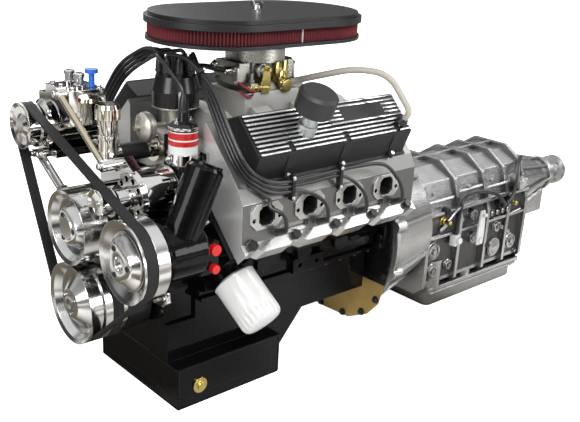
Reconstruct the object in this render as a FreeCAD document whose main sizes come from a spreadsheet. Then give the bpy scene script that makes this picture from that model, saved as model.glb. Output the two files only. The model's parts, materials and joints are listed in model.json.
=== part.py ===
import FreeCAD, Part
import math
import os
import re

import Sketcher
from FreeCAD import Placement, Rotation, Vector

# A complete V8 engine with its automatic transmission.
#
# Engine frame, in millimetres: the crankshaft's axis is the Y axis and +Y points to the
# rear, Y = 0 is the block's front face, +Z is up and +X is the left (driver's) side.
# Bank frame: z runs up the bores from the crankshaft's axis, x points to the exhaust side
# and y is counted from the middle of the bank.  At the end the whole engine is moved so
# that it stands centred on the floor.

SIZES = (
    # Block, bores and crankcase
    ("bore_spacing", 111.25),
    ("bore_radius", 52),
    ("crank_throw", 50.8),
    ("deck_height", 241.4),
    ("deck_half_width", 74),
    ("block_length", 520),
    ("rail_half_width", 125),
    ("skirt_half_width", 146),
    ("skirt_height", 40),
    ("first_main", 22),
    ("bank_stagger", 22),
    ("web_thickness", 24),
    ("main_radius", 38),
    ("crankcase_radius", 93),
    ("valley_half_width", 74),
    ("valley_floor", 178),
    ("china_wall_thickness", 12),
    ("core_plug_radius", 20),
    # Clearances
    ("seal_gap", 0.3),
    ("running_gap", 0.3),
    ("journal_gap", 0.3),
    # Crankshaft, rods and pistons
    ("pin_radius", 29),
    ("pin_length", 48),
    ("counterweight_radius", 80),
    ("snout_radius", 17.5),
    ("rear_flange_radius", 45),
    ("rod_length", 151.3),
    ("rod_width", 20.5),
    ("rod_big_radius", 38),
    ("rod_small_radius", 18),
    ("wrist_pin_radius", 11.5),
    ("piston_crown", 38.8),
    ("piston_skirt", 15),
    ("main_cap_depth", 62),
    ("main_cap_half_width", 66),
    # Camshaft and timing set
    ("cam_height", 131),
    ("cam_journal_radius", 27),
    ("cam_core_radius", 15),
    ("lobe_base_radius", 17),
    ("lobe_lift", 6),
    ("chain_pitch", 12.7),
    ("crank_teeth", 18),
    ("cam_teeth", 36),
    ("sprocket_front", -24),
    ("sprocket_thickness", 9),
    ("chain_width", 19),
    ("chain_link_depth", 9),
    # Timing cover, pump and front drive
    ("cover_depth", 72),
    ("cover_wall", 5),
    ("cover_top_radius", 94),
    ("cover_foot", 104),
    ("cover_bottom", 50),
    ("damper_radius", 80),
    ("damper_rear", -84),
    ("damper_front", -142),
    ("damper_hub_radius", 23.7),
    ("crank_pulley_radius", 84),
    ("crank_pulley_front", -223),
    ("pump_pulley_radius", 74),
    ("pump_pulley_height", 161),
    ("pump_pulley_front", -228),
    ("steering_pulley_radius", 78),
    ("steering_x", 190),
    ("steering_z", 153),
    ("compressor_pulley_radius", 47),
    ("compressor_x", -196),
    ("compressor_z", 318),
    ("alternator_pulley_radius", 28.5),
    ("alternator_x", 100),
    ("alternator_z", 236),
    ("rear_belt", -163),
    ("front_belt", -203),
    ("belt_width", 21),
    ("belt_thickness", 4.5),
    ("belt_groove", 5),
    ("pump_snout_radius", 26),
    # Heads and covers, in the bank frame
    ("gasket_thickness", 1.2),
    ("head_length", 490),
    ("head_ledge_edge", 88),
    ("head_ledge_height", 278),
    ("exhaust_face", 243),
    ("exhaust_face_top", 335),
    ("rail_height", 345),
    ("rail_outer", 22),
    ("rail_inner", 172),
    ("port_pitch", 112.5),
    ("port_shift", 18),
    ("port_width", 40),
    ("port_bottom", 183),
    ("port_height", 40),
    ("flange_reach", 40),
    ("flange_bottom", 176),
    ("flange_top", 229),
    ("flange_rise", 4),
    ("flange_bolt_pitch", 64),
    ("flange_bolt_radius", 4.5),
    ("head_bolt_line", 72),
    ("cover_length", 440),
    ("cover_flange", 5),
    ("cover_height", 402),
    ("cover_top_outer", 50),
    ("cover_top_inner", 146),
    ("cover_skin", 3),
    ("fin_height", 5),
    ("fin_width", 4),
    ("fin_pitch", 9.5),
    # Intake, carburettor and air cleaner
    ("intake_half_width", 115),
    ("intake_floor", 226),
    ("carburettor_y", 228),
    ("carburettor_pad", 395),
    ("carburettor_top", 490),
    ("pad_half_length", 74),
    ("pad_half_width", 62),
    ("air_cleaner_radius", 150),
    ("air_cleaner_reach", 102),
    ("air_cleaner_floor", 499),
    ("filter_bottom", 507),
    ("filter_top", 535),
    ("lid_top", 556),
    # Ignition
    ("distributor_y", 24),
    ("distributor_shaft_radius", 15),
    ("distributor_cap_bottom", 376),
    ("distributor_cap_top", 452),
    ("distributor_cap_radius", 48),
    ("coil_x", 100),
    ("coil_y", -26),
    ("coil_bottom", 226),
    ("coil_top", 366),
    ("coil_radius", 29),
    # Pan, filter and rear plate
    ("sump_depth", 230),
    ("sump_top", 135),
    ("sump_half_width", 150),
    ("sump_front", -67),
    ("sump_rear", 204),
    ("pan_floor", 112),
    ("pan_wall", 3),
    ("filter_radius", 46),
    ("filter_length", 118),
    ("plate_thickness", 3),
    # Transmission
    ("flange_ear_radius", 15),
    ("case_rib", 9),
    ("case_recess", 12),
    ("selector_y", 900),
    ("selector_z", -60),
    ("yoke_flange_radius", 46),
    ("yoke_bolt_circle", 35),
    ("yoke_bolt_hole", 5),
    ("bell_radius", 200),
    ("bell_wall", 8),
    ("case_front", 700),
    ("case_rear", 1145),
    ("case_half_width", 148),
    ("case_top", 148),
    ("case_floor", 184),
    ("tail_rear", 1425),
    ("yoke_rear", 1550),
    ("yoke_barrel_radius", 30),
    ("converter_radius", 150),
    ("flexplate_radius", 178),
)
ALIASES = {alias for alias, _ in SIZES}
ROOT_HALF = "sqrt(0.5)"

doc = FreeCAD.newDocument("V8Engine")
sheet = doc.addObject("Spreadsheet::Sheet", "Sizes")
for row, (alias, number) in enumerate(SIZES, start=1):
    sheet.set("A%d" % row, alias.replace("_", " "))
    sheet.set("B%d" % row, str(number))
    sheet.setAlias("B%d" % row, alias)
doc.recompute()

nodes = {}


def named(formula):
    """Write a formula of size names as an expression on the sheet."""
    return re.sub(r"[A-Za-z_]\w*", lambda word: qualified(word.group()), str(formula))


def qualified(word):
    """Put the sheet's name before a size, and leave functions as they are."""
    if word in ALIASES:
        return "Sizes." + word
    return word


def value(formula):
    """Work out a formula of size names, in millimetres or degrees."""
    return float(sheet.evalExpression(named(formula)))


def bind(feature, field, formula):
    """Tie one property of a feature to a formula of size names."""
    feature.setExpression(field, named(formula))


def point(x, y, z):
    return Vector(value(x), value(y), value(z))


def circle(x, y, radius):
    return ("circle", x, y, radius)


def polygon(*corners):
    return ("polygon", corners)


def rectangle(x_low, x_high, y_low, y_high):
    return polygon((x_low, y_low), (x_high, y_low), (x_high, y_high), (x_low, y_high))


def chamfered(x_low, x_high, y_low, y_high, corner):
    """A rectangle with its four corners cut off."""
    return polygon(("%s + %s" % (x_low, corner), y_low), ("%s - %s" % (x_high, corner), y_low),
                   (x_high, "%s + %s" % (y_low, corner)), (x_high, "%s - %s" % (y_high, corner)),
                   ("%s - %s" % (x_high, corner), y_high), ("%s + %s" % (x_low, corner), y_high),
                   (x_low, "%s - %s" % (y_high, corner)), (x_low, "%s + %s" % (y_low, corner)))


def ring_of(count, radius, hole, start=0, x=0, y=0):
    """Equal circles spaced round a circle."""
    return [circle("%s + %s * cos(%g)" % (x, radius, start + 360 / count * step),
                   "%s + %s * sin(%g)" % (y, radius, start + 360 / count * step), hole)
            for step in range(count)]


def mirrored(corners):
    """A closed outline from its right half, listed from the bottom to the top."""
    left = [("-(%s)" % x, y) for x, y in reversed(corners)]
    return polygon(*corners, *left)


class Piece:
    """One part made the way it is machined: sketches, pads, pockets and revolutions."""

    def __init__(self, label, exported=True):
        self.body = doc.addObject("PartDesign::Body", label)
        self.body.AllowCompound = True
        self.steps = 0
        if exported:
            nodes[label] = self.body

    def sketch(self, role, height, outlines):
        """Draw outlines on one of the body's own planes, at a height along its normal."""
        self.steps += 1
        drawing = self.body.newObject("Sketcher::SketchObject", "%s_outline" % self.body.Name)
        plane = [item for item in self.body.Origin.OriginFeatures if item.Role == role][0]
        drawing.AttachmentSupport = [(plane, "")]
        drawing.MapMode = "FlatFace"
        bind(drawing, "AttachmentOffset.Base.z", height)
        for outline in outlines:
            if outline[0] == "circle":
                self.draw_circle(drawing, *outline[1:])
            else:
                self.draw_polygon(drawing, outline[1])
        return drawing

    def tie(self, drawing, kind, places, formula):
        """Add a dimension to a drawing and drive it from the sheet."""
        number = drawing.addConstraint(Sketcher.Constraint(kind, *places, value(formula)))
        bind(drawing, "Constraints[%d]" % number, formula)

    def draw_circle(self, drawing, x, y, radius):
        centre = Vector(value(x), value(y), 0)
        geometry = drawing.addGeometry(Part.Circle(centre, Vector(0, 0, 1), value(radius)))
        self.tie(drawing, "DistanceX", (-1, 1, geometry, 3), x)
        self.tie(drawing, "DistanceY", (-1, 1, geometry, 3), y)
        self.tie(drawing, "Radius", (geometry,), radius)

    def draw_polygon(self, drawing, corners):
        places = [Vector(value(x), value(y), 0) for x, y in corners]
        lines = []
        for index, place in enumerate(places):
            after = places[(index + 1) % len(places)]
            lines.append(drawing.addGeometry(Part.LineSegment(place, after)))
        for index, line in enumerate(lines):
            after = lines[(index + 1) % len(lines)]
            drawing.addConstraint(Sketcher.Constraint("Coincident", line, 2, after, 1))
        for line, (x, y) in zip(lines, corners):
            self.tie(drawing, "DistanceX", (-1, 1, line, 1), x)
            self.tie(drawing, "DistanceY", (-1, 1, line, 1), y)

    def feature(self, kind, role, height, outlines):
        drawing = self.sketch(role, height, outlines)
        made = self.body.newObject("PartDesign::" + kind, "%s_%s" % (self.body.Name, kind))
        made.Profile = drawing
        return made

    def pad(self, role, outlines, low, high):
        """Fill the outlines from low to high along the plane's axis."""
        start = "-(%s)" % high if role == "XZ_Plane" else low
        made = self.feature("Pad", role, start, outlines)
        bind(made, "Length", "(%s) - (%s)" % (high, low))
        return made

    def pocket(self, role, outlines, low, high):
        """Cut the outlines from low to high along the plane's axis."""
        start = "-(%s)" % low if role == "XZ_Plane" else high
        made = self.feature("Pocket", role, start, outlines)
        bind(made, "Length", "(%s) - (%s)" % (high, low))
        return made

    def turn(self, role, outlines, axis="H_Axis", kind="Revolution"):
        """Spin the outlines about the drawing's own horizontal or vertical axis."""
        made = self.feature(kind, role, 0, outlines)
        made.ReferenceAxis = (made.Profile[0], [axis])
        made.Angle = 360
        return made

    def round_edges(self, radius, chosen):
        """Round the edges of the shape so far that the given test picks."""
        doc.recompute()
        base = self.body.Tip
        edges = ["Edge%d" % number for number, edge in enumerate(base.Shape.Edges, start=1)
                 if chosen(edge)]
        made = self.body.newObject("PartDesign::Fillet", "%s_round" % self.body.Name)
        made.Base = (base, edges)
        bind(made, "Radius", radius)
        return made


def place(node, x=0, y=0, z=0, rotation=None):
    """Put a node in the engine frame."""
    node.Placement = Placement(point(x, y, z), rotation or Rotation())
    return node


ALONG = {
    "X": Rotation(Vector(0, 1, 0), 90),
    "Y": Rotation(Vector(1, 0, 0), -90),
    "Z": Rotation(),
}


def cylinder(x, y, z, axis, radius, height):
    """A cylinder from its lower end, along one of the three axes."""
    made = doc.addObject("Part::Cylinder", "cylinder")
    made.Placement = Placement(Vector(), ALONG[axis])
    bind(made, "Placement.Base.x", x)
    bind(made, "Placement.Base.y", y)
    bind(made, "Placement.Base.z", z)
    bind(made, "Radius", radius)
    bind(made, "Height", height)
    return made


def box(x_low, x_high, y_low, y_high, z_low, z_high):
    """A box between two corners."""
    made = doc.addObject("Part::Box", "box")
    bind(made, "Placement.Base.x", x_low)
    bind(made, "Placement.Base.y", y_low)
    bind(made, "Placement.Base.z", z_low)
    bind(made, "Length", "(%s) - (%s)" % (x_high, x_low))
    bind(made, "Width", "(%s) - (%s)" % (y_high, y_low))
    bind(made, "Height", "(%s) - (%s)" % (z_high, z_low))
    return made


def fuse(label, shapes, exported=True):
    made = doc.addObject("Part::MultiFuse", label)
    made.Shapes = shapes
    made.Refine = True
    if exported:
        nodes[label] = made
    return made


def cut(label, base, tools, exported=True):
    made = doc.addObject("Part::Cut", label)
    made.Base = base
    made.Tool = tools[0] if len(tools) == 1 else fuse(label + "_tools", tools, False)
    made.Refine = True
    if exported:
        nodes[label] = made
    return made


def group(label, members):
    """A node of equal pieces that stay separate solids."""
    made = doc.addObject("Part::Compound", label)
    made.Links = members
    nodes[label] = made
    return made


def free_shape(label, shape, exported=True):
    """A node whose shape neither a body nor a primitive fits."""
    made = doc.addObject("Part::Feature", label)
    made.Shape = shape
    if exported:
        nodes[label] = made
    return made


def rib(label, corners, thickness, angle=0, x=0, z=0):
    """A flat rib: an outline along and out from an axis parallel to Y, turned about that axis."""
    places = [Vector(-thickness / 2, value(y), value(out)) for y, out in corners + corners[:1]]
    solid = Part.Face(Part.makePolygon(places)).extrude(Vector(thickness, 0, 0))
    solid.rotate(Vector(), Vector(0, 1, 0), angle)
    solid.translate(Vector(value(x), 0, value(z)))
    return free_shape(label, solid, exported=False)


def hexagon_head(seat, direction, across, height):
    """A bolt's head that sits on its seat."""
    corners = [Vector(across * math.cos(math.radians(angle)), across * math.sin(math.radians(angle)), 0)
               for angle in range(0, 361, 60)]
    head = Part.Face(Part.makePolygon(corners)).extrude(Vector(0, 0, height))
    head.Placement = Placement(seat, Rotation(Vector(0, 0, 1), direction))
    return head


def bolts(label, seats, direction, across=8.0, height=7.0):
    """A set of equal bolts, each a separate solid."""
    heads = [hexagon_head(seat, direction, across, height) for seat in seats]
    return free_shape(label, Part.makeCompound(heads))


def mains():
    """The distance of each main bearing from the front face."""
    return ["first_main + %d * bore_spacing" % count for count in range(5)]


def throws():
    """The distance of each crank pin from the front face."""
    return ["first_main + %.1f * bore_spacing" % (count + 0.5) for count in range(4)]


SIDES = {"left": 1, "right": -1}
THROW_ANGLES = (45, 315, 135, 225)
COVER_STRAPS = (-130, 20, 170)
TOWER_ANGLES = [22.5 + 45 * count for count in range(8)]
MIDDLE_MAIN = "(first_main + 2 * bore_spacing)"


def bank_middle(side):
    """The middle of a bank, which the two rods on each pin set apart."""
    sign = "+" if SIDES[side] > 0 else "-"
    return "%s %s bank_stagger / 2" % (MIDDLE_MAIN, sign)


def bank_rotation(side):
    """The turn from the bank frame to the engine frame."""
    lean = Rotation(Vector(0, 1, 0), 45)
    if SIDES[side] > 0:
        return lean
    return Rotation(Vector(0, 0, 1), 180) * lean


def bank_placement(side):
    return Placement(Vector(0, value(bank_middle(side)), 0), bank_rotation(side))


def on_bank(side, x, y, z):
    """A point of the bank frame, in the engine frame."""
    return bank_placement(side).multVec(point(x, y, z))


# --- Block, crankcase and internals ------------------------------------------------------

def deck(x):
    """A corner of the deck, at x across the bank, in the engine's XZ plane."""
    return ("(deck_height + (%s)) * %s" % (x, ROOT_HALF), "(deck_height - (%s)) * %s" % (x, ROOT_HALF))


def make_block():
    core = Piece("block_casting", exported=False)
    half = [("rail_half_width", 0), ("rail_half_width", 14), ("skirt_half_width", 20),
            ("skirt_half_width", "skirt_height"), deck("deck_half_width"), deck("-deck_half_width"),
            ("valley_half_width", "valley_floor")]
    core.pad("XZ_Plane", [mirrored(half)], 0, "block_length")
    overhang = "-(head_length - block_length) / 2 - bank_stagger"
    tower = [("-skirt_half_width", "skirt_height"), ("-112", 90), ("-112", 212),
             ("-(%s)" % deck("-deck_half_width")[0], deck("-deck_half_width")[1]),
             ("-(%s)" % deck("deck_half_width")[0], deck("deck_half_width")[1])]
    core.pad("XZ_Plane", [polygon(*tower)], -12, 0)
    wall = [("valley_half_width", "valley_floor"), deck("-deck_half_width")]
    for start in (0, "block_length - china_wall_thickness - 30"):
        core.pad("XZ_Plane", [mirrored(wall)], start, "(%s) + china_wall_thickness + 30" % start)
    ear = [("rail_half_width", 4), ("skirt_half_width + 24", 8), ("skirt_half_width + 24", 62), (116, 146)]
    core.pad("XZ_Plane", [mirrored(ear)], "block_length - 16", "block_length")
    for sign in ("", "-"):
        boss = rectangle("%sskirt_half_width - 10" % sign, "%s(skirt_half_width + 12)" % sign, 6, 40)
        if sign:
            boss = rectangle("-(skirt_half_width + 12)", "-skirt_half_width + 10", 6, 40)
        core.pad("XZ_Plane", [boss], 228, 318)
    for sign in ("", "-"):
        for y in (128, 240, 351):
            core.pad("YZ_Plane", [circle(y, 64, "core_plug_radius")], *((140, 178) if not sign else (-178, -140)))
    boss = doc.addObject("Part::Cylinder", "filter_boss")
    boss.Radius = 33
    boss.Height = 40
    boss.Placement = filter_seat() * Placement(Vector(0, 0, -40.3), Rotation())
    casting = fuse("block_with_boss", [core.body, boss], exported=False)
    tools = [cylinder(0, -20, 0, "Y", "main_radius + journal_gap", "block_length + 40"),
             cylinder(0, -20, "cam_height", "Y", "cam_journal_radius + journal_gap", "block_length"),
             cylinder(0, "distributor_y", "cam_height", "Z", "distributor_shaft_radius + seal_gap", 110)]
    for main in mains()[:-1]:
        tools.append(cylinder(0, "%s + web_thickness / 2" % main, 0, "Y", "crankcase_radius",
                              "bore_spacing - web_thickness"))
    for side in SIDES:
        sign = SIDES[side]
        for pin in throws():
            bore = cylinder(0, 0, 0, "Z", "bore_radius", 200)
            y = "%s + %d * bank_stagger / 2" % (pin, sign)
            bore.Placement = Placement(Vector(sign * 42, value(y), 42), Rotation(Vector(0, 1, 0), sign * 45))
            bind(bore, "Placement.Base.x", "%d * 42" % sign)
            bind(bore, "Placement.Base.y", y)
            bind(bore, "Placement.Base.z", 42)
            tools.append(bore)
        for y in (248, 298):
            x = "skirt_half_width - 10" if sign > 0 else "-skirt_half_width - 13"
            tools.append(cylinder(x, y, 23, "X", 5.5, 23))
    cut("cylinder_block", casting, tools)


def make_main_caps():
    caps = Piece("main_caps")
    for main in mains():
        outline = rectangle("-main_cap_half_width", "main_cap_half_width", "-main_cap_depth", -0.5)
        caps.pad("XZ_Plane", [outline], "%s - web_thickness / 2 + 0.5" % main,
                 "%s + web_thickness / 2 - 0.5" % main)
    caps.pocket("XZ_Plane", [circle(0, 0, "main_radius + journal_gap")], 0, "block_length")


def turned(corners, angle):
    """Turn an outline about the crankshaft's axis, clockwise from straight up."""
    return [("(%s) * cos(%d) + (%s) * sin(%d)" % (x, angle, z, angle),
             "(%s) * cos(%d) - (%s) * sin(%d)" % (z, angle, x, angle)) for x, z in corners]


def make_crankshaft():
    crank = Piece("crankshaft")
    shafts = []
    for main in mains():
        shafts.append(rectangle("%s - web_thickness / 2 - 1" % main, "%s + web_thickness / 2 + 1" % main,
                                0, "main_radius"))
    crank.turn("YZ_Plane", shafts)
    crank.turn("YZ_Plane", [rectangle("damper_front", "first_main", 0, "snout_radius")])
    crank.turn("YZ_Plane", [polygon(("first_main + 4 * bore_spacing", 0), ("block_length + 8", 0),
                                    ("block_length + 8", "rear_flange_radius"), ("block_length + 1", "rear_flange_radius"),
                                    ("block_length + 1", "main_radius - 4"),
                                    ("first_main + 4 * bore_spacing", "main_radius - 4"))])
    web = [("rod_big_radius - 4", "crank_throw + 12"), ("rod_big_radius + 6", 0)]
    for angle in (12, 40, 66):
        web.append(("counterweight_radius * cos(%d)" % angle, "-counterweight_radius * sin(%d)" % angle))
    for pin, angle in zip(throws(), THROW_ANGLES):
        right = turned(web, angle)
        left = turned([("-(%s)" % x, z) for x, z in reversed(web)], angle)
        crank_cheek = polygon(*right, *left)
        inner = "%s + pin_length / 2" % pin
        outer = "%s + bore_spacing / 2 - web_thickness / 2 - 1" % pin
        crank.pad("XZ_Plane", [crank_cheek], inner, outer)
        crank.pad("XZ_Plane", [crank_cheek], "2 * (%s) - (%s)" % (pin, outer),
                  "2 * (%s) - (%s)" % (pin, inner))
        centre = turned([(0, "crank_throw")], angle)[0]
        crank.pad("XZ_Plane", [circle(centre[0], centre[1], "pin_radius")],
                  "%s - pin_length / 2 - 2" % pin, "%s + pin_length / 2 + 2" % pin)


def crank_pin(pin, angle):
    """The centre of a crank pin at rest."""
    throw = value("crank_throw")
    tilt = math.radians(angle)
    return Vector(throw * math.sin(tilt), value(pin), throw * math.cos(tilt))


def wrist_pin(pin_centre, side):
    """Where the rod puts the piston's pin on its bank."""
    along = Vector(SIDES[side], 0, 1).normalize()
    across = (pin_centre - along * pin_centre.dot(along))
    across.y = 0
    reach = pin_centre.x * along.x + pin_centre.z * along.z
    reach += math.sqrt(value("rod_length") ** 2 - across.Length ** 2)
    y = pin_centre.y + SIDES[side] * value("bank_stagger") / 2
    return Vector(along.x * reach, y, along.z * reach), along


def make_pistons_and_rods():
    crowns, rods = [], []
    gap = value("running_gap")
    for pin, angle in zip(throws(), THROW_ANGLES):
        centre = crank_pin(pin, angle)
        for side in SIDES:
            wrist, along = wrist_pin(centre, side)
            skirt = wrist - along * value("piston_skirt")
            height = value("piston_skirt + piston_crown")
            crown = Part.makeCylinder(value("bore_radius") - gap, height, skirt, along)
            inside = Part.makeCylinder(value("bore_radius") - 7, height - 14, skirt, along)
            bar = Part.makeCylinder(value("wrist_pin_radius"), 90, wrist - Vector(0, 45, 0), Vector(0, 1, 0))
            crowns.append(crown.cut(inside).fuse(bar))
            foot = Vector(centre.x, wrist.y, centre.z)
            width = value("rod_width")
            start = Vector(0, -width / 2, 0)
            axis = Vector(0, 1, 0)
            big = Part.makeCylinder(value("rod_big_radius"), width, foot + start, axis)
            small = Part.makeCylinder(value("rod_small_radius"), width, wrist + start, axis)
            beam = Part.makeBox(16, width - 4, value("rod_length"), Vector(-8, -width / 2 + 2, 0))
            beam.Placement = Placement(foot, Rotation(Vector(0, 0, 1), wrist - foot))
            beam.Placement = Placement(foot, Rotation(Vector(0, 1, 0), math.degrees(
                math.atan2(wrist.x - foot.x, wrist.z - foot.z))))
            made = big.fuse([small, beam])
            made = made.cut(Part.makeCylinder(value("pin_radius") + gap, width, foot + start, axis))
            made = made.cut(Part.makeCylinder(value("wrist_pin_radius") + gap, width, wrist + start, axis))
            rods.append(made)
    free_shape("pistons", Part.makeCompound(crowns))
    free_shape("connecting_rods", Part.makeCompound(rods))


def make_camshaft():
    parts = [cylinder(0, -30, "cam_height", "Y", "cam_core_radius", "first_main + 4 * bore_spacing + 40")]
    parts.append(cylinder(0, 0.5, "cam_height", "Y", "cam_journal_radius", 9))
    for main in mains()[1:]:
        parts.append(cylinder(0, "%s - 12" % main, "cam_height", "Y", "cam_journal_radius", 24))
    for count, pin in enumerate(throws()):
        for step in range(4):
            angle = 90 * count + 112.5 * step
            y = "%s + %.1f" % (pin, (step - 1.5) * 20 - 5)
            parts.append(cylinder("lobe_lift * sin(%s)" % angle, y, "cam_height + lobe_lift * cos(%s)" % angle,
                                  "Y", "lobe_base_radius", 11))
    fuse("camshaft", parts)


def sprocket(label, teeth, height, bore):
    """A chain sprocket: roller seats cut round a disc."""
    wheel = Piece(label)
    pitch_radius = "chain_pitch / 2 / sin(180 / %s)" % teeth
    back = "sprocket_front + sprocket_thickness"
    wheel.pad("XZ_Plane", [circle(0, 0, "%s + 3" % pitch_radius), circle(0, 0, bore)], "sprocket_front", back)
    seat = wheel.pocket("XZ_Plane", [circle(0, pitch_radius, 4.6)], "sprocket_front", back)
    pattern = wheel.body.newObject("PartDesign::PolarPattern", label + "_teeth")
    pattern.Originals = [seat]
    axis = [item for item in wheel.body.Origin.OriginFeatures if item.Role == "Y_Axis"][0]
    pattern.Axis = (axis, [""])
    pattern.Angle = 360
    bind(pattern, "Occurrences", teeth)
    wheel.body.Tip = pattern
    place(wheel.body, 0, 0, height)
    return wheel


def loop_face(circles):
    """The flat face inside a tight loop around circles, listed anticlockwise as (x, z, radius)."""
    edges, ends = [], []
    count = len(circles)
    for index in range(count):
        x0, z0, r0 = circles[index]
        x1, z1, r1 = circles[(index + 1) % count]
        heading = math.atan2(z1 - z0, x1 - x0)
        swing = math.asin((r0 - r1) / math.hypot(x1 - x0, z1 - z0))
        normal = heading + swing - math.pi / 2
        start = Vector(x0 + r0 * math.cos(normal), 0, z0 + r0 * math.sin(normal))
        end = Vector(x1 + r1 * math.cos(normal), 0, z1 + r1 * math.sin(normal))
        ends.append((start, end, normal))
        edges.append(Part.LineSegment(start, end).toShape())
    for index in range(count):
        x, z, radius = circles[(index + 1) % count]
        start, first = ends[index][1], ends[index][2]
        end, last = ends[(index + 1) % count][0], ends[(index + 1) % count][2]
        turn = (last - first) % (2 * math.pi)
        middle = first + turn / 2
        through = Vector(x + radius * math.cos(middle), 0, z + radius * math.sin(middle))
        edges.append(Part.Arc(start, through, end).toShape())
    return Part.Face(Part.Wire(Part.__sortEdges__(edges)))


def loop_band(circles, inner, outer, low, high):
    """A closed band round circles, between two offsets and two heights along Y."""
    faces = []
    for offset in (outer, inner):
        face = loop_face([(x, z, radius + offset) for x, z, radius in circles])
        face.translate(Vector(0, low, 0))
        faces.append(face.extrude(Vector(0, high - low, 0)))
    return faces[0].cut(faces[1])


def make_timing_set():
    sprocket("crank_sprocket", "crank_teeth", 0, "snout_radius + 0.05")
    sprocket("cam_sprocket", "cam_teeth", "cam_height", "cam_core_radius + 0.05")
    radii = [value("chain_pitch / 2 / sin(180 / %s)" % teeth) for teeth in ("crank_teeth", "cam_teeth")]
    circles = [(0, 0, radii[0]), (0, value("cam_height"), radii[1])]
    depth = value("chain_link_depth") / 2
    middle = value("sprocket_front + sprocket_thickness / 2")
    plates = []
    for sign in (-1, 1):
        near = middle + sign * value("sprocket_thickness / 2 + running_gap")
        far = middle + sign * value("chain_width") / 2
        plates.append(loop_band(circles, -depth, depth, min(near, far), max(near, far)))
    swing = math.asin((radii[1] - radii[0]) / value("cam_height"))
    length = value("cam_height") * math.cos(swing)
    for side in (-1, 1):
        start = Vector(side * radii[0] * math.cos(swing), 0, -radii[0] * math.sin(swing))
        along = Vector(side * math.sin(swing), 0, math.cos(swing))
        for step in range(3, 7):
            spot = start + along * (length * step / 9.0)
            spot.y = middle - value("chain_width") / 2
            plates.append(Part.makeCylinder(3.4, value("chain_width"), spot, Vector(0, 1, 0)))
    chain = plates[0].fuse(plates[1:])
    free_shape("timing_chain", chain)


# --- Timing cover, water pump and front drive --------------------------------------------

def make_timing_cover():
    cover = Piece("timing_cover")
    outer = [("cover_foot", "-cover_bottom + seal_gap"), ("cover_foot", 30)]
    inner = [("cover_foot - cover_wall", "-cover_bottom + seal_gap + cover_wall"), ("cover_foot - cover_wall", 30)]
    for angle in (0, 40, 70):
        outer.append(("cover_top_radius * cos(%d)" % angle, "cam_height - 5 + cover_top_radius * sin(%d)" % angle))
        inner.append(("(cover_top_radius - cover_wall) * cos(%d)" % angle,
                      "cam_height - 5 + (cover_top_radius - cover_wall) * sin(%d)" % angle))
    cover.pad("XZ_Plane", [mirrored(outer)], "-cover_depth", -0.3)
    cover.pocket("XZ_Plane", [mirrored(inner)], "-cover_depth + cover_wall + 2", 0)
    cover.pad("XZ_Plane", [circle(0, 0, "damper_hub_radius + 9")], "-cover_depth - 6", "-cover_depth + 6")
    cover.pocket("XZ_Plane", [circle(0, 0, "damper_hub_radius + running_gap")], "-cover_depth - 7", 0)


def pulley(label, radius, front, rows, back, hub_radius, dish, bore="0"):
    """A turned pulley: rims with a groove for each belt row, a dished web and a hub."""
    wheel = Piece(label)
    rim = 5
    profile = [(front, bore), (front, hub_radius), ("%s + %s" % (front, dish), "%s - 22" % radius),
               ("%s + 4" % front, "%s - 8" % radius), (front, "%s" % radius)]
    for row in rows:
        profile += [("%s - belt_width / 2 - 1.5" % row, radius),
                    ("%s - belt_width / 2 - 1.5" % row, "%s - belt_groove" % radius),
                    ("%s + belt_width / 2 + 1.5" % row, "%s - belt_groove" % radius),
                    ("%s + belt_width / 2 + 1.5" % row, radius)]
    profile += [(back, radius), (back, "%s - %d" % (radius, rim + 6)),
                ("%s + 16" % front, "%s - %d" % (radius, rim + 6)),
                ("%s + %s + 8" % (front, dish), hub_radius), (back, hub_radius), (back, bore)]
    wheel.turn("YZ_Plane", [polygon(*profile)])
    return wheel


def make_front_drive():
    damper = Piece("harmonic_damper")
    damper.turn("YZ_Plane", [polygon(("damper_front", "snout_radius + 0.05"), ("damper_front", 44),
                                     ("damper_front + 14", 46), ("damper_front + 6", 66),
                                     ("damper_front + 6", "damper_radius"),
                                     ("damper_rear", "damper_radius"), ("damper_rear", 60),
                                     ("damper_rear - 12", 56), ("damper_rear - 12", "damper_hub_radius + 8"),
                                     ("-cover_depth - 7", "damper_hub_radius + 8"),
                                     ("-cover_depth - 7", "damper_hub_radius"),
                                     ("sprocket_front - 2", "damper_hub_radius"),
                                     ("sprocket_front - 2", "snout_radius + 0.05"))])
    pulley("crank_pulley", "crank_pulley_radius", "crank_pulley_front", ("front_belt", "rear_belt"),
           "damper_front - 0.5", 30, 26)
    pump = pulley("water_pump_pulley", "pump_pulley_radius", "pump_pulley_front", ("rear_belt",),
                  "rear_belt + belt_width / 2 + 5", 22, 30)
    pump.turn("YZ_Plane", [polygon((-200, 0), (-200, 12), (-152, 12), (-152, 21.5), (-141, 21.5), (-141, 12),
                                   (-81, 12), (-81, 0))])
    steer = pulley("power_steering_pulley", "steering_pulley_radius", "front_belt - belt_width / 2 - 6",
                   ("front_belt",), "front_belt + belt_width / 2 + 26", 20, 12)
    steer.turn("YZ_Plane", [rectangle("front_belt - 6", -150.3, 0, 9.4)])
    place(steer.body, "steering_x", 0, "steering_z")
    clutch = pulley("compressor_pulley", "compressor_pulley_radius", "front_belt - belt_width / 2 - 6",
                    ("front_belt",), "front_belt + belt_width / 2 + 6", 16, 6)
    place(clutch.body, "compressor_x", 0, "compressor_z")
    small = pulley("alternator_pulley", "alternator_pulley_radius", "front_belt - belt_width / 2 - 5",
                   ("front_belt",), "front_belt + belt_width / 2 + 5", 7, 3)
    place(small.body, "alternator_x", 0, "alternator_z")


def belt(circles, row):
    low = value("%s - belt_width / 2" % row)
    high = value("%s + belt_width / 2" % row)
    inner = value("running_gap - belt_groove")
    return loop_band(circles, inner, inner + value("belt_thickness"), low, high)


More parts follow.
